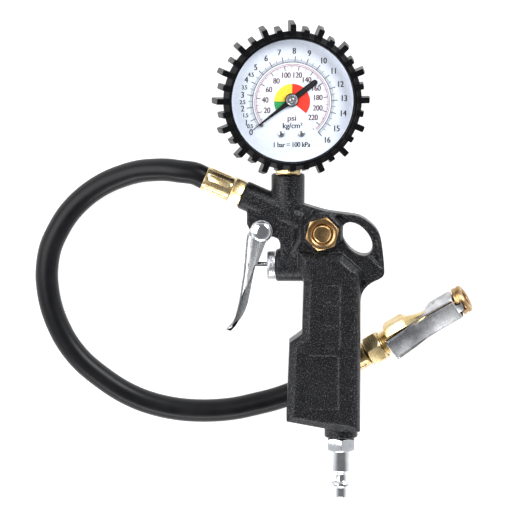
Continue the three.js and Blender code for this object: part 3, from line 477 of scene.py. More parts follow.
def hexagon(flats, low, high, chamfer, domed=0.6, phase=0.0):
    """A hexagon along Y with its corners turned down at both ends, as a nut's are.

    A core as thin as a hair lets every face have four corners.
    """
    flat = flats / 2
    inner = flat * 0.985
    core = 0.01
    sides = 120
    shares = (0, 0.25, 0.5, 0.75, 1)
    angles = [2 * math.pi * i / sides for i in range(sides)]
    bm = bmesh.new()

    def full_radius(angle):
        return flat / math.cos((angle % (math.pi / 3)) - math.pi / 6)

    def drop(radius):
        return (radius - inner) * domed + chamfer * 0.12 if radius > inner else 0

    def vertex(angle, radius, height):
        return bm.verts.new((radius * math.sin(angle + phase), height, radius * math.cos(angle + phase)))

    rings = [[vertex(a, core, low) for a in angles]]
    for end, inward, order in ((low, 1, shares), (high, -1, shares[::-1])):
        for share in order:
            radii = [inner + (full_radius(a) - inner) * share for a in angles]
            heights = [end + inward * drop(radius) for radius in radii]
            rings.append([vertex(*place) for place in zip(angles, radii, heights)])
    rings.append([vertex(a, core, high) for a in angles])
    for first, second in zip(rings, rings[1:] + rings[:1]):
        for i in range(sides):
            j = (i + 1) % sides
            bm.faces.new((first[i], first[j], second[j], second[i]))
    bmesh.ops.recalc_face_normals(bm, faces=bm.faces)
    return bm


def moved(bm, matrix):
    bmesh.ops.transform(bm, matrix=matrix, verts=bm.verts)
    return bm


def lying(bm):
    """A shape turned about Y, laid so that it is turned about Z."""
    return moved(bm, Matrix.Rotation(math.radians(90), 4, "X"))


def merged(*shapes):
    """Several closed shapes in one mesh."""
    result = bmesh.new()
    for shape in shapes:
        mesh = bpy.data.meshes.new("part")
        shape.to_mesh(mesh)
        shape.free()
        result.from_mesh(mesh)
        bpy.data.meshes.remove(mesh)
    return result


def rim_edges(bm, wanted):
    """The edges around a prism's two faces, where both ends are at a wanted place."""
    return [edge for edge in bm.edges if abs(edge.verts[0].co.z - edge.verts[1].co.z) < 0.01
            and all(wanted(vertex.co) for vertex in edge.verts)]


def object_of(name, bm):
    mesh = bpy.data.meshes.new(name)
    bm.to_mesh(mesh)
    bm.free()
    made = bpy.data.objects.new(name, mesh)
    bpy.context.scene.collection.objects.link(made)
    return made


def settle(made):
    """Applies the object's modifiers to its mesh."""
    bpy.context.view_layer.update()
    graph = bpy.context.evaluated_depsgraph_get()
    mesh = bpy.data.meshes.new_from_object(made.evaluated_get(graph))
    made.modifiers.clear()
    made.data = mesh


def combined(shape, operation, *tools):
    """The shape with each tool cut out of it or added to it."""
    made = object_of("shape", shape)
    for tool in tools:
        other = object_of("tool", tool)
        modifier = made.modifiers.new("boolean", "BOOLEAN")
        modifier.operation = operation
        modifier.solver = "MANIFOLD"
        modifier.object = other
        settle(made)
        bpy.data.objects.remove(other)
    result = bmesh.new()
    result.from_mesh(made.data)
    bpy.data.objects.remove(made)
    return result


def cut(shape, *tools):
    return combined(shape, "DIFFERENCE", *tools)


def added(shape, *tools):
    return combined(shape, "UNION", *tools)


def rod(radius, low, high, sides=ROUND):
    """A plain cylinder along Y."""
    return revolve([(0, low), (radius, low), (radius, high), (0, high)], sides)


def piece(name, bm, base, body, slot, replaces=(), edge=0.0, finish=None):
    """A shape in millimetres in its own frame, made into a piece of the object with its finish."""
    moved(bm, Matrix.Scale(MM, 4))
    made = object_of(name, bm)
    if edge:
        modifier = made.modifiers.new("edges", "BEVEL")
        modifier.width = edge * MM
        modifier.segments = 3
        modifier.limit_method = "ANGLE"
        modifier.angle_limit = SHARP
        modifier.miter_outer = "MITER_ARC"
        settle(made)
    made.data.shade_smooth()
    made.data.set_sharp_from_angle(angle=SHARP)
    made.data.materials.clear()
    made.data.materials.append(finish or FINISH[slot])
    made.matrix_world = base
    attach(made, body)
    if replaces:
        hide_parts(*replaces)
    return made


# --- hose and its ferrules ---

HOSE_RADIUS = 6.1
HOSE_CRIMPED = 5.3
HOSE_ROUTE = [
    (-34.2, 37.9, 22.4), (-38.2, 39.7, 22.3), (-42.8, 41.7, 22.2), (-47.6, 43.7, 22.1),
    (-52.9, 46.1, 22), (-60.9, 47, 20.9), (-66.9, 47.5, 19), (-73.4, 47.2, 16.6), (-81.9, 46, 13.4),
    (-90.9, 43.2, 10.4), (-101.4, 38.4, 7.9), (-111.4, 31.4, 6.5), (-119.9, 22.7, 6.2),
    (-125.9, 13.2, 6.2), (-130.3, 3.1, 6.2), (-132.1, -8, 6.2), (-131.9, -17, 6.2),
    (-130.2, -27.1, 6.2), (-126.9, -37.1, 6.2), (-121.4, -47.9, 6.2), (-113.2, -58.3, 6.2),
    (-102.1, -67.6, 6.2), (-91.9, -74.4, 6.2), (-81.4, -79.4, 6.2), (-70.9, -82.6, 6.2),
    (-60.9, -84.4, 6.2), (-50.9, -85.1, 6.2), (-40.9, -84.9, 6.2), (-30.9, -83.8, 6.2),
    (-20.9, -81.6, 6.2), (-10.9, -79.1, 6.2), (-1.9, -76, 6.2), (7.1, -72, 6.2), (18.9, -65.6, 6.2),
    (24, -62.5, 6.7), (29.1, -59.5, 7.4), (34.2, -56.4, 8.1), (38.8, -53.6, 8.7),
]
CRIMP_LENGTH = 14.5


def make_hose():
    """One open spline along the route, its radius drawn in where the ferrules hold it."""
    data = bpy.data.curves.new("rubber_hose", "CURVE")
    data.dimensions = "3D"
    data.bevel_depth = HOSE_RADIUS * MM
    data.bevel_resolution = 12
    data.use_fill_caps = True
    points = curve_points(HOSE_ROUTE, 6)
    spline = data.splines.new("POLY")
    spline.points.add(len(points) - 1)
    ends = Vector(points[0]), Vector(points[-1])
    for target, point in zip(spline.points, points):
        target.co = (*(Vector(point) * MM), 1)
        inside = min((Vector(point) - end).length for end in ends)
        target.radius = 1 if inside > CRIMP_LENGTH else HOSE_CRIMPED / HOSE_RADIUS
    spline.use_smooth = True
    data.materials.append(FINISH["hose_rubber"])
    made = bpy.data.objects.new("rubber_hose", data)
    bpy.context.scene.collection.objects.link(made)
    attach(made, "gun")
    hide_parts("hose")
    return made


def ferrule(name, base, low, node):
    """A brass sleeve with six long crimps pressed into it."""
    radius, inner, length = 6.4, 5.35, 15.3
    crimps, first_angle = 6, 20
    half_width, depth, margin = 1.85, 0.8, 2
    shell = revolve(soft([
        (inner, low), (radius, low), (radius, low + length), (inner, low + length), (inner, low),
    ], 0.35), 96)
    tools = []
    for i in range(crimps):
        pocket = block((-half_width, low + margin, radius - depth),
                       (half_width, low + length - margin, radius + 1))
        bmesh.ops.bevel(pocket, geom=pocket.edges[:], offset=0.5, segments=4, affect="EDGES")
        turn = math.radians(360 / crimps * i + first_angle)
        tools.append(moved(pocket, Matrix.Rotation(turn, 4, "Y")))
    return piece(name, cut(shell, *tools), base, "gun", "brass", (node,), 0.12)


# --- chuck ---


def thread(radius, low, high, pitch, depth):
    """A fine thread as a row of rounded ridges, as a profile from low to high."""
    count = int(round((high - low) / pitch))
    line = []
    for i in range(count):
        y = low + i * pitch
        line += [(radius - depth, y), (radius - 0.1, y + pitch * 0.4), (radius, y + pitch * 0.5),
                 (radius - 0.1, y + pitch * 0.6)]
    return [*line, (radius - depth, high)]


def on_clip_pin(bm):
    """A shape turned about Y, laid along the clip's pin."""
    return moved(bm, Matrix.Translation((0, *CLIP_PIN)) @ Matrix.Rotation(math.radians(90), 4, "Z"))


def chuck_tail():
    shape = revolve([
        (0, -48), (3, -48), (3, -33.2), (3.6, -33.2), (3.6, -31.4), (6.1, -31.4), (6.1, -29),
        (4.4, -27.4), (0, -27.4),
    ])
    return piece("chuck_tail", shape, CHUCK, "gun", "brass", ("hose_tail",), 0.1)


def swivel_nut():
    bore = revolve([(0, -34), (3.9, -34), (3.9, -31.8), (6.8, -31.8), (6.8, -23), (0, -23)])
    nut = cut(hexagon(15, -32.6, -24, 1.3, domed=0.85, phase=math.radians(30)), bore)
    return piece("swivel_hexagon", nut, CHUCK, "gun", "brass", ("swivel_nut",), 0.15)


def chuck_barrel():
    """The chuck's body: a thread, a domed hexagon and a waisted neck, milled flat under the clip's tail."""
    body = hexagon(17.15, -19, -6.5, 1.4, domed=0.8, phase=math.radians(-7))
    stem_shape = revolve([
        (0, -27), (5.9, -27), (6.4, -26.5), *thread(6.5, -26.4, -19.2, 1.2, 0.75), (6.2, -18),
        (8.2, -7), *curve_points([(7.9, -6.6), (6.6, -3.4), (5.6, -0.2), (5.3, 2.6)], 5), (5.3, 16),
        (4.3, 16), (4.3, 13.5), (0.7, 13.5), (0.7, 12), (0, 12),
    ])
    flat = block((-7.1, -20, 6.4), (7.1, -2, 14))
    pin_hole = on_clip_pin(rod(1.15, -9, 9, SMALL))
    shape = cut(added(body, stem_shape), flat, pin_hole)
    return piece("chuck_barrel", shape, CHUCK, "gun", "brass", ("chuck_body",), 0.12)


def chuck_collar():
    """The chuck's grooved nose, with a window for the clip's tooth."""
    shell = revolve(soft([
        (4.5, 16.3), (5.3, 16.3), (5.3, 22.7), (7.8, 23.2), (7.8, 24.3), (7.45, 24.6), (7.45, 25.6),
        (7.8, 25.9), (7.8, 27), (6.9, 28), (5.4, 28), (4.5, 27.2), (4.5, 16.3),
    ], 0.25), 96)
    window = block((-2.8, 22, 3.8), (2.8, 26.2, 10))
    return piece("chuck_collar", cut(shell, window), CHUCK, "gun", "bronze", ("chuck_nose",), 0.12)


def chuck_washer():
    shape = revolve(soft([(1.9, 16.6), (4.2, 16.6), (4.2, 19.8), (1.9, 19.8), (1.9, 16.6)], 0.3))
    return piece("chuck_washer", shape, CHUCK, "gun", "seal_rubber", ("chuck_seal",))


def valve_depressor():
    """A pin on a disc with three ports."""
    angles = (2 * math.pi * i / 3 for i in range(3))
    ports = [moved(rod(0.9, 13, 16, SMALL), Matrix.Translation((2.6 * math.cos(a), 0, 2.6 * math.sin(a))))
             for a in angles]
    shape = added(cut(rod(4, 14, 15.2), *ports), rod(0.9, 14.5, 18.4, SMALL))
    return piece("valve_depressor", shape, CHUCK, "gun", "brass", ("chuck_depressor",), 0.1)


def clip_plate():
    """A channel bent from plate: a web over the chuck, a raised tail, an ear each side and a bent tooth."""
    half, wall, level, splay, tail, front = 6.3, 0.7, 7.6, 11.6, -20.5, 22.2
    mouth, tooth_half, tooth_tip, tooth_thick = 25, 2.1, 3.9, 0.8
    bend = [(8.5, level), (3.4, level + 0.3), (-2, level + 0.9)]
    side = [
        (front, level), *bend, (tail, splay), (tail + 2, 10), (-8, 8.2), (2, 6.2), (4.4, 4.6),
        (6.4, -1.4), (9.4, -4.3), (front - 1.6, -4.3), (front, -3),
    ]
    hollow = [
        (tail - 2, splay - wall + 0.33), *((y, z - wall) for y, z in reversed(bend)),
        (front + 2, level - wall), (front + 2, -12), (tail - 2, -12),
    ]
    outer = prism(soft(side, 1.6, True, 5), -half, half)
    bends = rim_edges(outer, lambda place: place.y > 7.2)
    bmesh.ops.bevel(outer, geom=bends, offset=1.3, segments=6, affect="EDGES")
    shape = cut(outer, prism(hollow, -half + wall, half - wall))
    shape = added(shape, block((front - 0.6, level - wall, -tooth_half), (mouth, level, tooth_half)))
    shape = added(shape, block((mouth - tooth_thick, tooth_tip, -tooth_half), (mouth, level, tooth_half)))
    hole = moved(lying(rod(1.1, -12, 12, SMALL)), Matrix.Translation((*CLIP_PIN, 0)))
    upright = Matrix(((0, 0, 1, 0), (1, 0, 0, 0), (0, 1, 0, 0), (0, 0, 0, 1)))
    shape = moved(cut(shape, hole), upright)
    return piece("spring_clip", shape, CHUCK, "clip", "nickel", ("chuck_clip",), 0.12)


def clip_rivet():
    shape = revolve(soft([(0, -6.8), (0.9, -6.8), (0.9, 6.8), (0, 6.8)], 0.3), SMALL)
    return piece("clip_rivet", on_clip_pin(shape), CHUCK, "gun", "steel", ("clip_pin",))


def coil_shape(radius, wire, low, high, turns):
    """A round-wire compression spring along Y, with its end turns closed up."""
    steps, sides, closed_turns = int(turns * 28), 10, 0.8
    bm = bmesh.new()
    rings = []
    for i in range(steps + 1):
        t = i / steps
        rise = max(0.0, min(1.0, (t * turns - closed_turns) / (turns - 2 * closed_turns)))
        middle = low + wire / 2 + (high - low - wire) * rise
        angle = 2 * math.pi * turns * t
        ring = []
        for k in range(sides):
            a = 2 * math.pi * k / sides
            r = radius + wire / 2 * math.cos(a)
            height = middle + wire / 2 * math.sin(a)
            ring.append(bm.verts.new((r * math.sin(angle), height, r * math.cos(angle))))
        rings.append(ring)
    for first, second in zip(rings, rings[1:]):
        for k in range(sides):
            j = (k + 1) % sides
            bm.faces.new((first[k], first[j], second[j], second[k]))
    bm.faces.new(rings[0])
    bm.faces.new(rings[-1])
    bmesh.ops.recalc_face_normals(bm, faces=bm.faces)
    return bm


def spring(name, shape, base, node):
    """A steel coil in place of the node, with a mesh of its own."""
    coil = piece(name, shape, base, "gun", "steel", (node,))
    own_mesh(coil)
    return coil


def clip_coil():
    """The coil between the chuck's flat and the clip's tail."""
    low, high = 6.5, 9.35
    base = along(CHUCK, (0, -14, 0), (0, 0, 1), (0, -1, 0))
    shape = coil_shape(1.95, 0.5, low, high, 4)
    return spring("clip_coil", shape, base, "clip_spring")


def make_chuck():
    """Everything that the hose carries, from its ferrule to the clip."""
    return [
        ferrule("crimp_sleeve_chuck", CHUCK, -49, "hose_ferrule_chuck"), chuck_tail(), swivel_nut(),
        chuck_barrel(), chuck_collar(), chuck_washer(), valve_depressor(), clip_plate(), clip_rivet(),
        clip_coil(),
    ]


# --- gauge ---

DIAL_TOP = 9.8
INK = DIAL_TOP + 0.05
INK_THICK = 0.03
PRINT_CENTRE = (0.35, -1.0)
POINTER_BACK = DIAL_TOP + 0.9
BOOT_INSIDE = [(30.9, -12), (34.6, 8)]

# The dial's two screws by their X, and the rest pin's X and Y.
SCREWS = {"left": -5.4, "right": 5.4}
SCREW_Y = -18
REST_PIN = (-15.8, -13.4)

# The scale: 8 bar stands near the top, and zero is where the pointer rests.
TOP_BAR = 8
TOP_ANGLE = 86
DEGREES_A_BAR = 16.9
LAST_BAR = 16
ZERO_ANGLE = 217.0
BAR_PER_PSI = 0.0703

BLACK_INK = printed("black_ink", (0.02, 0.02, 0.022))
RED_INK = printed("red_ink", (0.34, 0.07, 0.07))
GREEN_INK = printed("green_ink", (0.03, 0.3, 0.09))
YELLOW_INK = printed("yellow_ink", (0.95, 0.62, 0.05))
SIGNAL_INK = printed("signal_ink", (0.82, 0.04, 0.02))
BROWN_INK = printed("brown_ink", (0.13, 0.045, 0.04))


def angle_of(bar):
    """Where a pressure stands on the dial, in degrees: the scale runs clockwise from zero."""
    return TOP_ANGLE + (TOP_BAR - bar) * DEGREES_A_BAR if bar >= 0.5 else ZERO_ANGLE + 0.5


def boot_wall():
    """A thin tapered cup with a rolled lip."""
    return lying(revolve(soft([
        (24, -16.1), (31.9, -16.1), (31.9, -12), (35.6, 8), (35.6, 11.5), (36.8, 13.3), (36.8, 15.2),
        (34.4, 16.7), (34.1, 17.4), (32.8, 17.3), (32.8, 16), (34.6, 16), *reversed(BOOT_INSIDE),
        (30.9, -14.3), (24, -14.3), (24, -16.1),
    ], 0.5, steps=4), FINE))


def boot_fin(index, count):
    """A fin that stands out as a lug: long and short in turn, but all alike at the stem."""
    stem_radius, long_radius, short_radius = 38.4, 42.08, 39.6
    stem_index = count * 3 / 4
    if abs(index - stem_index) < 1.5:
        radius = stem_radius
    else:
        radius = long_radius if index % 2 == 0 else short_radius
    outline = [(34, 6), (radius, 6), (radius, 8), (radius - 1.6, 18.2), (34.1, 18.2), (33.7, 17)]
    fin = lying(prism(outline, -1.55, 1.55))
    bmesh.ops.bevel(fin, geom=fin.edges[:], offset=0.3, segments=3, affect="EDGES")
    return moved(fin, Matrix.Rotation(math.radians(360 / count * index), 4, "Z"))


def gauge_boot():
    """The boot: a cup with 32 fins, open to the gauge and slotted for the stem."""
    count = 32
    fins = [boot_fin(index, count) for index in range(count)]
    slot = block((-7, -38.8, -7.3), (7, -28, 7.3))
    seat = lying(revolve([(0, -14.3), (30.9, -14.3), *BOOT_INSIDE, (34.6, 16), (0, 16)], FINE))
    shape = cut(added(boot_wall(), *fins), slot, seat)
    piece("lugged_boot", shape, GAUGE, "gun", "boot_rubber", ("gauge_boot",))


def gauge_lens():
    """The lens is slightly domed."""
    edge, bottom, thick, crown, steps = 32.75, 13.2, 0.7, 0.6, 10
    shares = [i / steps for i in range(steps + 1)]
    top = [(edge * (1 - share), bottom + thick + crown * (1 - (1 - share) ** 2)) for share in shares]
    shape = lying(revolve([(0, bottom), (edge, bottom), *top], FINE))
    piece("clear_lens", shape, GAUGE, "gun", "lens", ("gauge_lens",))


def lens_seat():
    """The dark ring that holds the lens."""
    profile = soft([(32.3, 14.7), (32.85, 14.7), (32.85, 15.6), (32.4, 15.6), (32.3, 14.7)], 0.1)
    piece("lens_seat_ring", lying(revolve(profile, FINE)), GAUGE, "gun", "case_black", ("lens_ring",))


def inner_wall():
    """The white collar between the dial and the lens."""
    profile = soft([(32.6, 9.9), (32.86, 9.9), (32.86, 13.1), (32.7, 13.1), (32.6, 9.9)], 0.05)
    piece("dial_surround", lying(revolve(profile, FINE)), GAUGE, "gun", "dial")


def dial_hole(radius, x, y):
    return moved(lying(rod(radius, 0, 12, SMALL)), Matrix.Translation((x, y, 0)))


def dial_face():
    """The dial's plate, with holes for the pointer's shaft, the two screws and the rest pin."""
    disc = lying(revolve(soft([(0, 9.2), (32.8, 9.2), (32.8, DIAL_TOP), (0, DIAL_TOP)], 0.05), FINE))
    screw_holes = [dial_hole(1.2, x, SCREW_Y) for x in SCREWS.values()]
    shape = cut(disc, dial_hole(2, 0, 0), *screw_holes, dial_hole(0.9, *REST_PIN))
    piece("dial_face", shape, GAUGE, "gun", "dial", ("dial_plate",))


def strip(radius_in, radius_out, from_angle, to_angle):
    """A flat band of the dial's print."""
    steps = max(2, int(abs(to_angle - from_angle) / 2))
    outline = [*arc((0, 0), radius_out, from_angle, to_angle, steps),
               *arc((0, 0), radius_in, to_angle, from_angle, steps)]
    return moved(prism(outline, INK - INK_THICK, INK), Matrix.Translation((*PRINT_CENTRE, 0)))


def tick(angle, inner, outer, width):
    bar = block((inner, -width / 2, INK - INK_THICK), (outer, width / 2, INK))
    return moved(bar, Matrix.Translation((*PRINT_CENTRE, 0)) @ Matrix.Rotation(math.radians(angle), 4, "Z"))


def text_mesh(text, height):
    """The text as a thin mesh about its own centre, and its width."""
    data = bpy.data.curves.new("figures", "FONT")
    data.body = text
    data.size = height * 1.36
    data.align_x = "CENTER"
    data.align_y = "CENTER"
    data.extrude = INK_THICK / 2
    data.space_character = 0.96
    data.resolution_u = 4
    made = bpy.data.objects.new("figures", data)
    bpy.context.scene.collection.objects.link(made)
    bpy.context.view_layer.update()
    graph = bpy.context.evaluated_depsgraph_get()
    bm = bmesh.new()
    bm.from_mesh(bpy.data.meshes.new_from_object(made.evaluated_get(graph)))
    width = made.dimensions.x
    bpy.data.objects.remove(made)
    bmesh.ops.remove_doubles(bm, verts=bm.verts, dist=1e-5)
    return bm, width


def lettering(text, x, y, height, width=None):
    """Upright figures on the dial, centred on the point, as wide as asked and bold by being doubled."""
    narrow, bold = 0.86, 0.1
    bm, own_width = text_mesh(text, height)
    stretch = Matrix.Scale(width / own_width if width else narrow, 4, (1, 0, 0))
    copies = [moved(shape, Matrix.Translation((x + shift, y, INK)) @ stretch)
              for shape, shift in ((bm, -bold), (bm.copy(), bold))]
    return merged(*copies)


BAR_FIGURES = [
    ("0", -21.5, -17), ("1", -24, -12), ("2", -26, -4.5), ("3", -26, 2.8), ("4", -24, 10.8),
    ("5", -19, 17.3), ("6", -13.5, 22), ("7", -6.5, 25), ("8", 1.5, 25.8), ("9", 9.5, 24.5),
    ("10", 17, 20.5), ("11", 22.5, 15), ("12", 26, 8), ("13", 28, 0.5), ("14", 27.5, -7.5),
    ("15", 24, -15.5), ("16", 19, -21.5),
]
HALF_FIGURES = [
    ("0.5", -22, -13.8), ("1.5", -24.5, -8), ("2.5", -26, -1), ("3.5", -25, 6.8), ("4.5", -21.5, 13.5),
]
PSI_FIGURES = [
    ("20", -13, -5.5), ("40", -14, 0), ("60", -12, 5.5), ("80", -8, 10), ("100", -3, 13), ("120", 3, 13),
    ("140", 8, 10.5), ("160", 13, 6), ("180", 14, 1), ("200", 14, -4.5), ("220", 11.5, -9.5),
]


def film(name, shapes, ink):
    """A thin film of ink on the dial."""
    piece(name, merged(*shapes), GAUGE, "gun", "dial", (), 0, ink)


def black_scale():
    """A line with a tick every tenth of a bar from 0.5, and the ticks of every 10 psi inside it."""
    black = [strip(20.9, 21.2, angle_of(LAST_BAR), ZERO_ANGLE)]
    for tenths in range(5, 10 * LAST_BAR + 1):
        if tenths % 10 == 0:
            outer, width = 24.2, 0.42
        elif tenths % 5 == 0:
            outer, width = 23.3, 0.28
        else:
            outer, width = 22.6, 0.19
        black.append(tick(angle_of(tenths / 10), 21.1, outer, width))
    for tens in range(1, 24):
        inner, width = (16.9, 0.42) if tens % 2 == 0 else (17.9, 0.26)
        black.append(tick(angle_of(tens * 10 * BAR_PER_PSI), inner, 19.2, width))
    film("black_scale", black, BLACK_INK)


def red_scale():
    """A double line with a tick every 2 psi, but where a black one stands."""
    lines = ((19.1, 19.35), (19.8, 20.05))
    red = [strip(inner, outer, angle_of(LAST_BAR), ZERO_ANGLE) for inner, outer in lines]
    red += [tick(angle_of(i * 2 * BAR_PER_PSI), 18.4, 19.2, 0.16) for i in range(4, 114) if i % 5]
    film("red_scale", red, RED_INK)


def dial_figures():
    figures = [lettering(text, x, y, 3.3) for text, x, y in BAR_FIGURES]
    figures += [lettering(text, x, y, 2.3) for text, x, y in HALF_FIGURES]
    figures.append(lettering("kg/cm²", 0.6, -13.7, 3.1, 10.4))
    figures.append(lettering("1 bar = 100 kPa", 0, -23.8, 2.8, 19.3))
    film("black_figures", figures, BLACK_INK)
    inner = [lettering(text, x, y, 3.1) for text, x, y in PSI_FIGURES]
    inner.append(lettering("psi", 0.2, -9.7, 3.1, 4.4))
    film("psi_figures", inner, BROWN_INK)


def dial_print():
    """Scales, figures and the coloured sector, each a thin film of ink on the dial."""
    black_scale()
    red_scale()
    dial_figures()
    film("green_sector", [strip(2.2, 9.6, 178, 205)], GREEN_INK)
    film("yellow_sector", [strip(2.2, 9.6, 90, 178)], YELLOW_INK)
    film("red_sector", [strip(2.2, 9.6, -40, 90)], SIGNAL_INK)


def dial_screw(side, x):
    """A slotted screw with a low domed head."""
    head = DIAL_TOP + 0.3
    screw = lying(revolve(soft([
        (0, head - 6), (0.85, head - 6), (0.85, head), (1.6, head), (1.6, head + 0.4),
        (1.0, head + 0.75), (0, head + 0.8),
    ], 0.15), SMALL))
    slot = moved(block((-2, -0.22, head + 0.35), (2, 0.22, head + 1)), Matrix.Rotation(x * 0.25, 4, "Z"))
    shape = moved(cut(screw, slot), Matrix.Translation((x, SCREW_Y, 0)))
    piece(f"slotted_screw_{side}", shape, GAUGE, "gun", "steel", (f"dial_screw_{side}",))


def rest_pin():
    """The pin that the pointer rests on."""
    low, high = DIAL_TOP - 1, DIAL_TOP + 1.4
    pin = lying(revolve(soft([(0, low), (0.6, low), (0.6, high), (0, high)], 0.2), SMALL))
    shape = moved(pin, Matrix.Translation((*REST_PIN, 0)))
    piece("rest_pin", shape, GAUGE, "gun", "steel", ("zero_stop_pin",))


def needle():
    """A tapered blade with a round-ended tail, standing at zero."""
    base, thick = POINTER_BACK, 0.5
    tail = arc((-15.3, 0), 1.5, 90, 270, 16)
    outline = [(8, -0.95), (26.2, -0.1), (26.2, 0.1), (8, 0.95), (2.5, 1.5), *tail, (2.5, -1.5)]
    blade = prism(outline, base, base + thick)
    hub = lying(rod(3.6, base, base + thick))
    hole = lying(rod(0.9, base - 1, base + 2, SMALL))
    shape = moved(cut(added(blade, hub), hole), Matrix.Rotation(math.radians(ZERO_ANGLE), 4, "Z"))
    piece("needle", shape, GAUGE, "needle", "pointer_black", ("pointer",), 0.1)


def needle_cap():
    """A cap on the needle's hub: a rim, a groove and a raised middle."""
    low = POINTER_BACK + 0.8
    cap = lying(revolve(soft([
        (0, low), (3.1, low), (3.1, low + 0.7), (2.6, low + 0.75), (2.4, low + 0.4), (1.2, low + 0.5),
        (0.9, low + 0.7), (0, low + 0.7),
    ], 0.12)))
    piece("needle_cap", cap, GAUGE, "needle", "nickel", ("pointer_cap",))


def stem():
    """The gauge's brass stem: a thread into the casting, a hexagon, and a block inside the boot."""
    threaded = revolve([
        (0, -51.7), (6.1, -51.7), *thread(6.6, -51.6, -39.6, 1.2, 0.5), (5.6, -36.8), (5.6, -33),
        (0, -33),
    ])
    shape = added(hexagon(12.4, -39.7, -36.6, 0.6), threaded, block((-5, -34, -4.4), (5, -20.5, 4.4)))
    piece("brass_stem", shape, STEM, "gun", "brass", ("gauge_stem",), 0.12)


# --- casting ---

VOXEL = 0.42


def casting():
    """The casting as designed, with the small rounds that die-casting and coating leave on every edge."""
    bm = bmesh.new()
    bm.from_mesh(frame["nodes"]["gun_body"].data)
    bmesh.ops.remove_doubles(bm, verts=bm.verts, dist=TINY)
    moved(bm, GUN.inverted())
    made = object_of("casting_work", bm)
    remesh = made.modifiers.new("remesh", "REMESH")
    remesh.mode = "VOXEL"
    remesh.voxel_size = VOXEL * MM
    smooth = made.modifiers.new("smooth", "SMOOTH")
    smooth.factor = 0.5
    smooth.iterations = 5
    settle(made)
    shape = bmesh.new()
    shape.from_mesh(made.data)
    bpy.data.objects.remove(made)
    moved(shape, Matrix.Scale(1 / MM, 4))
    result = piece("black_casting", shape, GUN, "gun", "casting", ("gun_body",))
    result.data.set_sharp_from_angle(angle=math.pi)


# --- valves, plug and trigger ---

TRIGGER_HALF = 8.2
PIN_FACE = TRIGGER_HALF + 0.3
PIN_FRAME = GUN @ Matrix.Translation(Vector((*PIVOT, 0)) * MM)


def valve_parts():
    """The gland nut in the casting, the rod that slides in it, and the coil behind the poppet."""
    nut = revolve(soft([
        (2.1, -13.2), (6.9, -13.2), (7.6, -12.3), (7.6, -9.1), (4.9, -9.1), (4.9, -5.5), (2.1, -5.5),
        (2.1, -13.2),
    ], 0.3))
    piece("gland_nut", nut, VALVE, "gun", "nickel", ("valve_gland_nut",), 0, rough_nickel())
    push_rod = revolve(soft([(0, -23.6), (1, -23.6), (1.75, -22.8), (1.75, 6), (0, 6)], 0.3))
    piece("valve_push_rod", push_rod, VALVE, "valve_stem", "chrome", ("push_rod",))
    low, high = 8.9, 21.7
    spring("valve_coil", coil_shape(3.3, 0.9, low, high, 6), VALVE, "valve_spring")


def bleed_parts():
    """The bleed valve's hexagon, sunk in the middle for its button, and the coil under the button."""
    top = 11.0
    hex_part = hexagon(16, top + 0.3, top + 5.2, 1.2, domed=0.55, phase=math.radians(-15))
    recess = revolve([
        (0, top + 2.4), (5.3, top + 2.4), (5.3, top + 4.4), (6.9, top + 5.3), (6.9, top + 6),
        (0, top + 6),
    ])
    shape = cut(added(hex_part, rod(5, 3, top + 1)), recess, rod(2.3, -1, top + 4, SMALL))
    piece("bleed_hexagon", shape, BLEED, "gun", "bronze", ("bleed_gland",), 0.15)
    button = revolve(soft([
        (0, 0), (1.7, 0), (1.7, top + 4.4), (4.9, top + 4.4), (4.9, top + 5.4), (4.5, top + 5.8),
        (4.1, top + 5.5), (2, top + 5.25), (0, top + 5.1),
    ], 0.25))
    piece("bleed_push_button", button, BLEED, "bleed", "bronze", ("bleed_button",))
    low, high = top + 2.75, top + 4.1
    spring("bleed_coil", coil_shape(3.2, 0.35, low, high, 3), BLEED, "bleed_spring")


def quick_plug():
    """A hexagon with a grooved nipple, bored through."""
    hex_part = hexagon(14.3, 0, 7, 1.2)
    nipple = revolve(soft([
        (0, -10), (5.6, -10), (5.6, 0.4), (6.05, 0.4), (6.05, 17.4), (5.5, 18.2), (4.2, 19),
        (3.9, 19.6), (3.9, 23.1), (5.2, 23.1), (5.9, 24.3), (5.9, 25.6), (5.2, 26.7), (4, 26.7),
        (4, 31.6), (3.3, 32.7), (0, 32.7),
    ], 0.35), 96)
    shape = cut(added(hex_part, nipple), rod(2.4, -11, 34, SMALL))
    piece("quick_plug", shape, PLUG, "gun", "chrome", ("inlet_plug",), 0.12)


def follows(line):
    """A test for places on one of the line's points."""
    return lambda place: any((Vector(point) - place.xy).length < 0.01 for point in line)


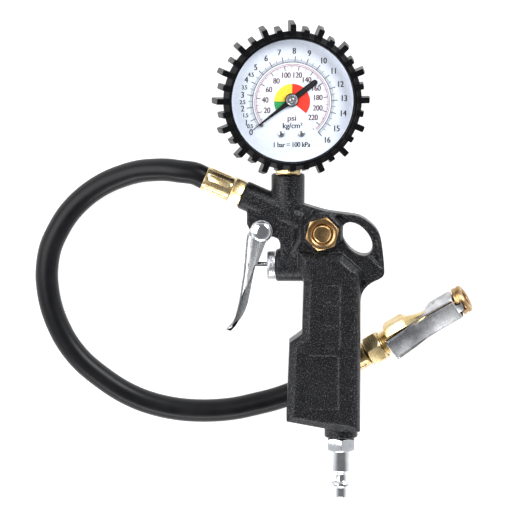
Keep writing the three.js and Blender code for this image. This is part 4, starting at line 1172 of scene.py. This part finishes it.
def trigger():
    """A lever bent from strip into a channel, with round ears."""
    wall = 1.2
    front = curve_points([
        (-7.6, -1.6), (-8.4, -8), (-9.5, -21.5), (-11.8, -36.4), (-13.3, -43.3), (-15.2, -48.3),
        (-18.9, -52.5),
    ], 8)
    back = curve_points([
        (-16.2, -51.6), (-14.7, -50.3), (-10.8, -46.3), (-7.3, -38.4), (-3.7, -20.6), (-2, -17.3),
        (2.3, -6),
    ], 8)
    ear = arc((0, 0), 5.9, -62, 150, 40)
    outer = prism([*front, *back, *ear], -TRIGGER_HALF, TRIGGER_HALF)
    front_edges = rim_edges(outer, follows(front[1:-2]))
    bmesh.ops.bevel(outer, geom=front_edges, offset=2.4, segments=8, affect="EDGES")
    back_edges = rim_edges(outer, follows(back[8:]))
    bmesh.ops.bevel(outer, geom=back_edges, offset=0.8, segments=3, affect="EDGES")
    web = [(x + wall, y + 0.35) for x, y in front]
    hollow = prism([*web, (20, -60), (20, 20), (-12, 20), (-12, 4), (web[0][0], 1)],
                   -TRIGGER_HALF + wall, TRIGGER_HALF - wall)
    pin_hole = lying(rod(2.6, -12, 12, SMALL))
    plate = brushed("brushed_plate", (0.74, 0.75, 0.76), (0.95, 0.95, 0.96), 0.02)
    shape = cut(outer, hollow, pin_hole)
    piece("trigger", shape, PIN_FRAME, "trigger", "chrome", ("trigger_lever",), 0.2, plate)


def domed_pin():
    """The trigger's pin: a domed head in front, and a groove near its far end."""
    face = PIN_FACE
    angles = (math.radians(7.5 * i) for i in range(1, 13))
    dome = [(5.4 * math.cos(a), face + 0.35 + 2.2 * math.sin(a)) for a in angles]
    pin = revolve([*soft([
        (0, -face - 2.2), (1.9, -face - 2.2), (2.05, -face - 1.9), (2.05, -face - 1.4),
        (1.6, -face - 1.4), (1.6, -face - 0.4), (2.05, -face - 0.4), (2.05, face), (5.3, face),
        (5.4, face + 0.35),
    ], 0.1), *dome])
    piece("domed_pin", lying(pin), PIN_FRAME, "gun", "chrome", ("trigger_pin",))


def retaining_clip():
    """An open ring in the pin's groove."""
    back, front = -PIN_FACE - 1.2, -PIN_FACE - 0.6
    ring = lying(revolve([(1.85, back), (3.8, back), (3.8, front), (1.85, front), (1.85, back)]))
    mouth = block((-1.4, -6, -PIN_FACE - 3), (1.4, -1, -PIN_FACE + 1))
    piece("retaining_clip", cut(ring, mouth), PIN_FRAME, "gun", "steel", ("pin_clip",), 0.1)


def outlet_parts():
    """The hose's fitting in the casting, and the ferrule on it, which is returned."""
    hex_part = hexagon(14, 0.3, 6.6, 0.9)
    barb = revolve([(0, -10), (5, -10), (5, 0.6), (3, 0.6), (3, 21.5), (0, 21.5)])
    piece("outlet_hexagon", added(hex_part, barb), OUTLET, "gun", "brass", ("hose_fitting",), 0.12)
    return ferrule("crimp_sleeve_gun", OUTLET, 6.9, "hose_ferrule_gun")


def finish_hidden_nodes():
    """The nodes that keep their own shape get their finish."""
    slots = {row["node"]: row["material_slot"] for row in frame["record"]["subparts"]}
    for name, node in frame["nodes"].items():
        node.data.materials.clear()
        node.data.materials.append(FINISH[slots[name]])


# --- the whole ---

add_camera()
finish_hidden_nodes()
rubber_hose = make_hose()
gun_sleeve = outlet_parts()
chuck_pieces = make_chuck()
casting()
gauge_boot()
gauge_lens()
lens_seat()
inner_wall()
dial_face()
dial_print()
for screw_side, screw_x in SCREWS.items():
    dial_screw(screw_side, screw_x)
rest_pin()
needle()
needle_cap()
stem()
valve_parts()
bleed_parts()
quick_plug()
trigger()
domed_pin()
retaining_clip()
add_studio()
add_floor()
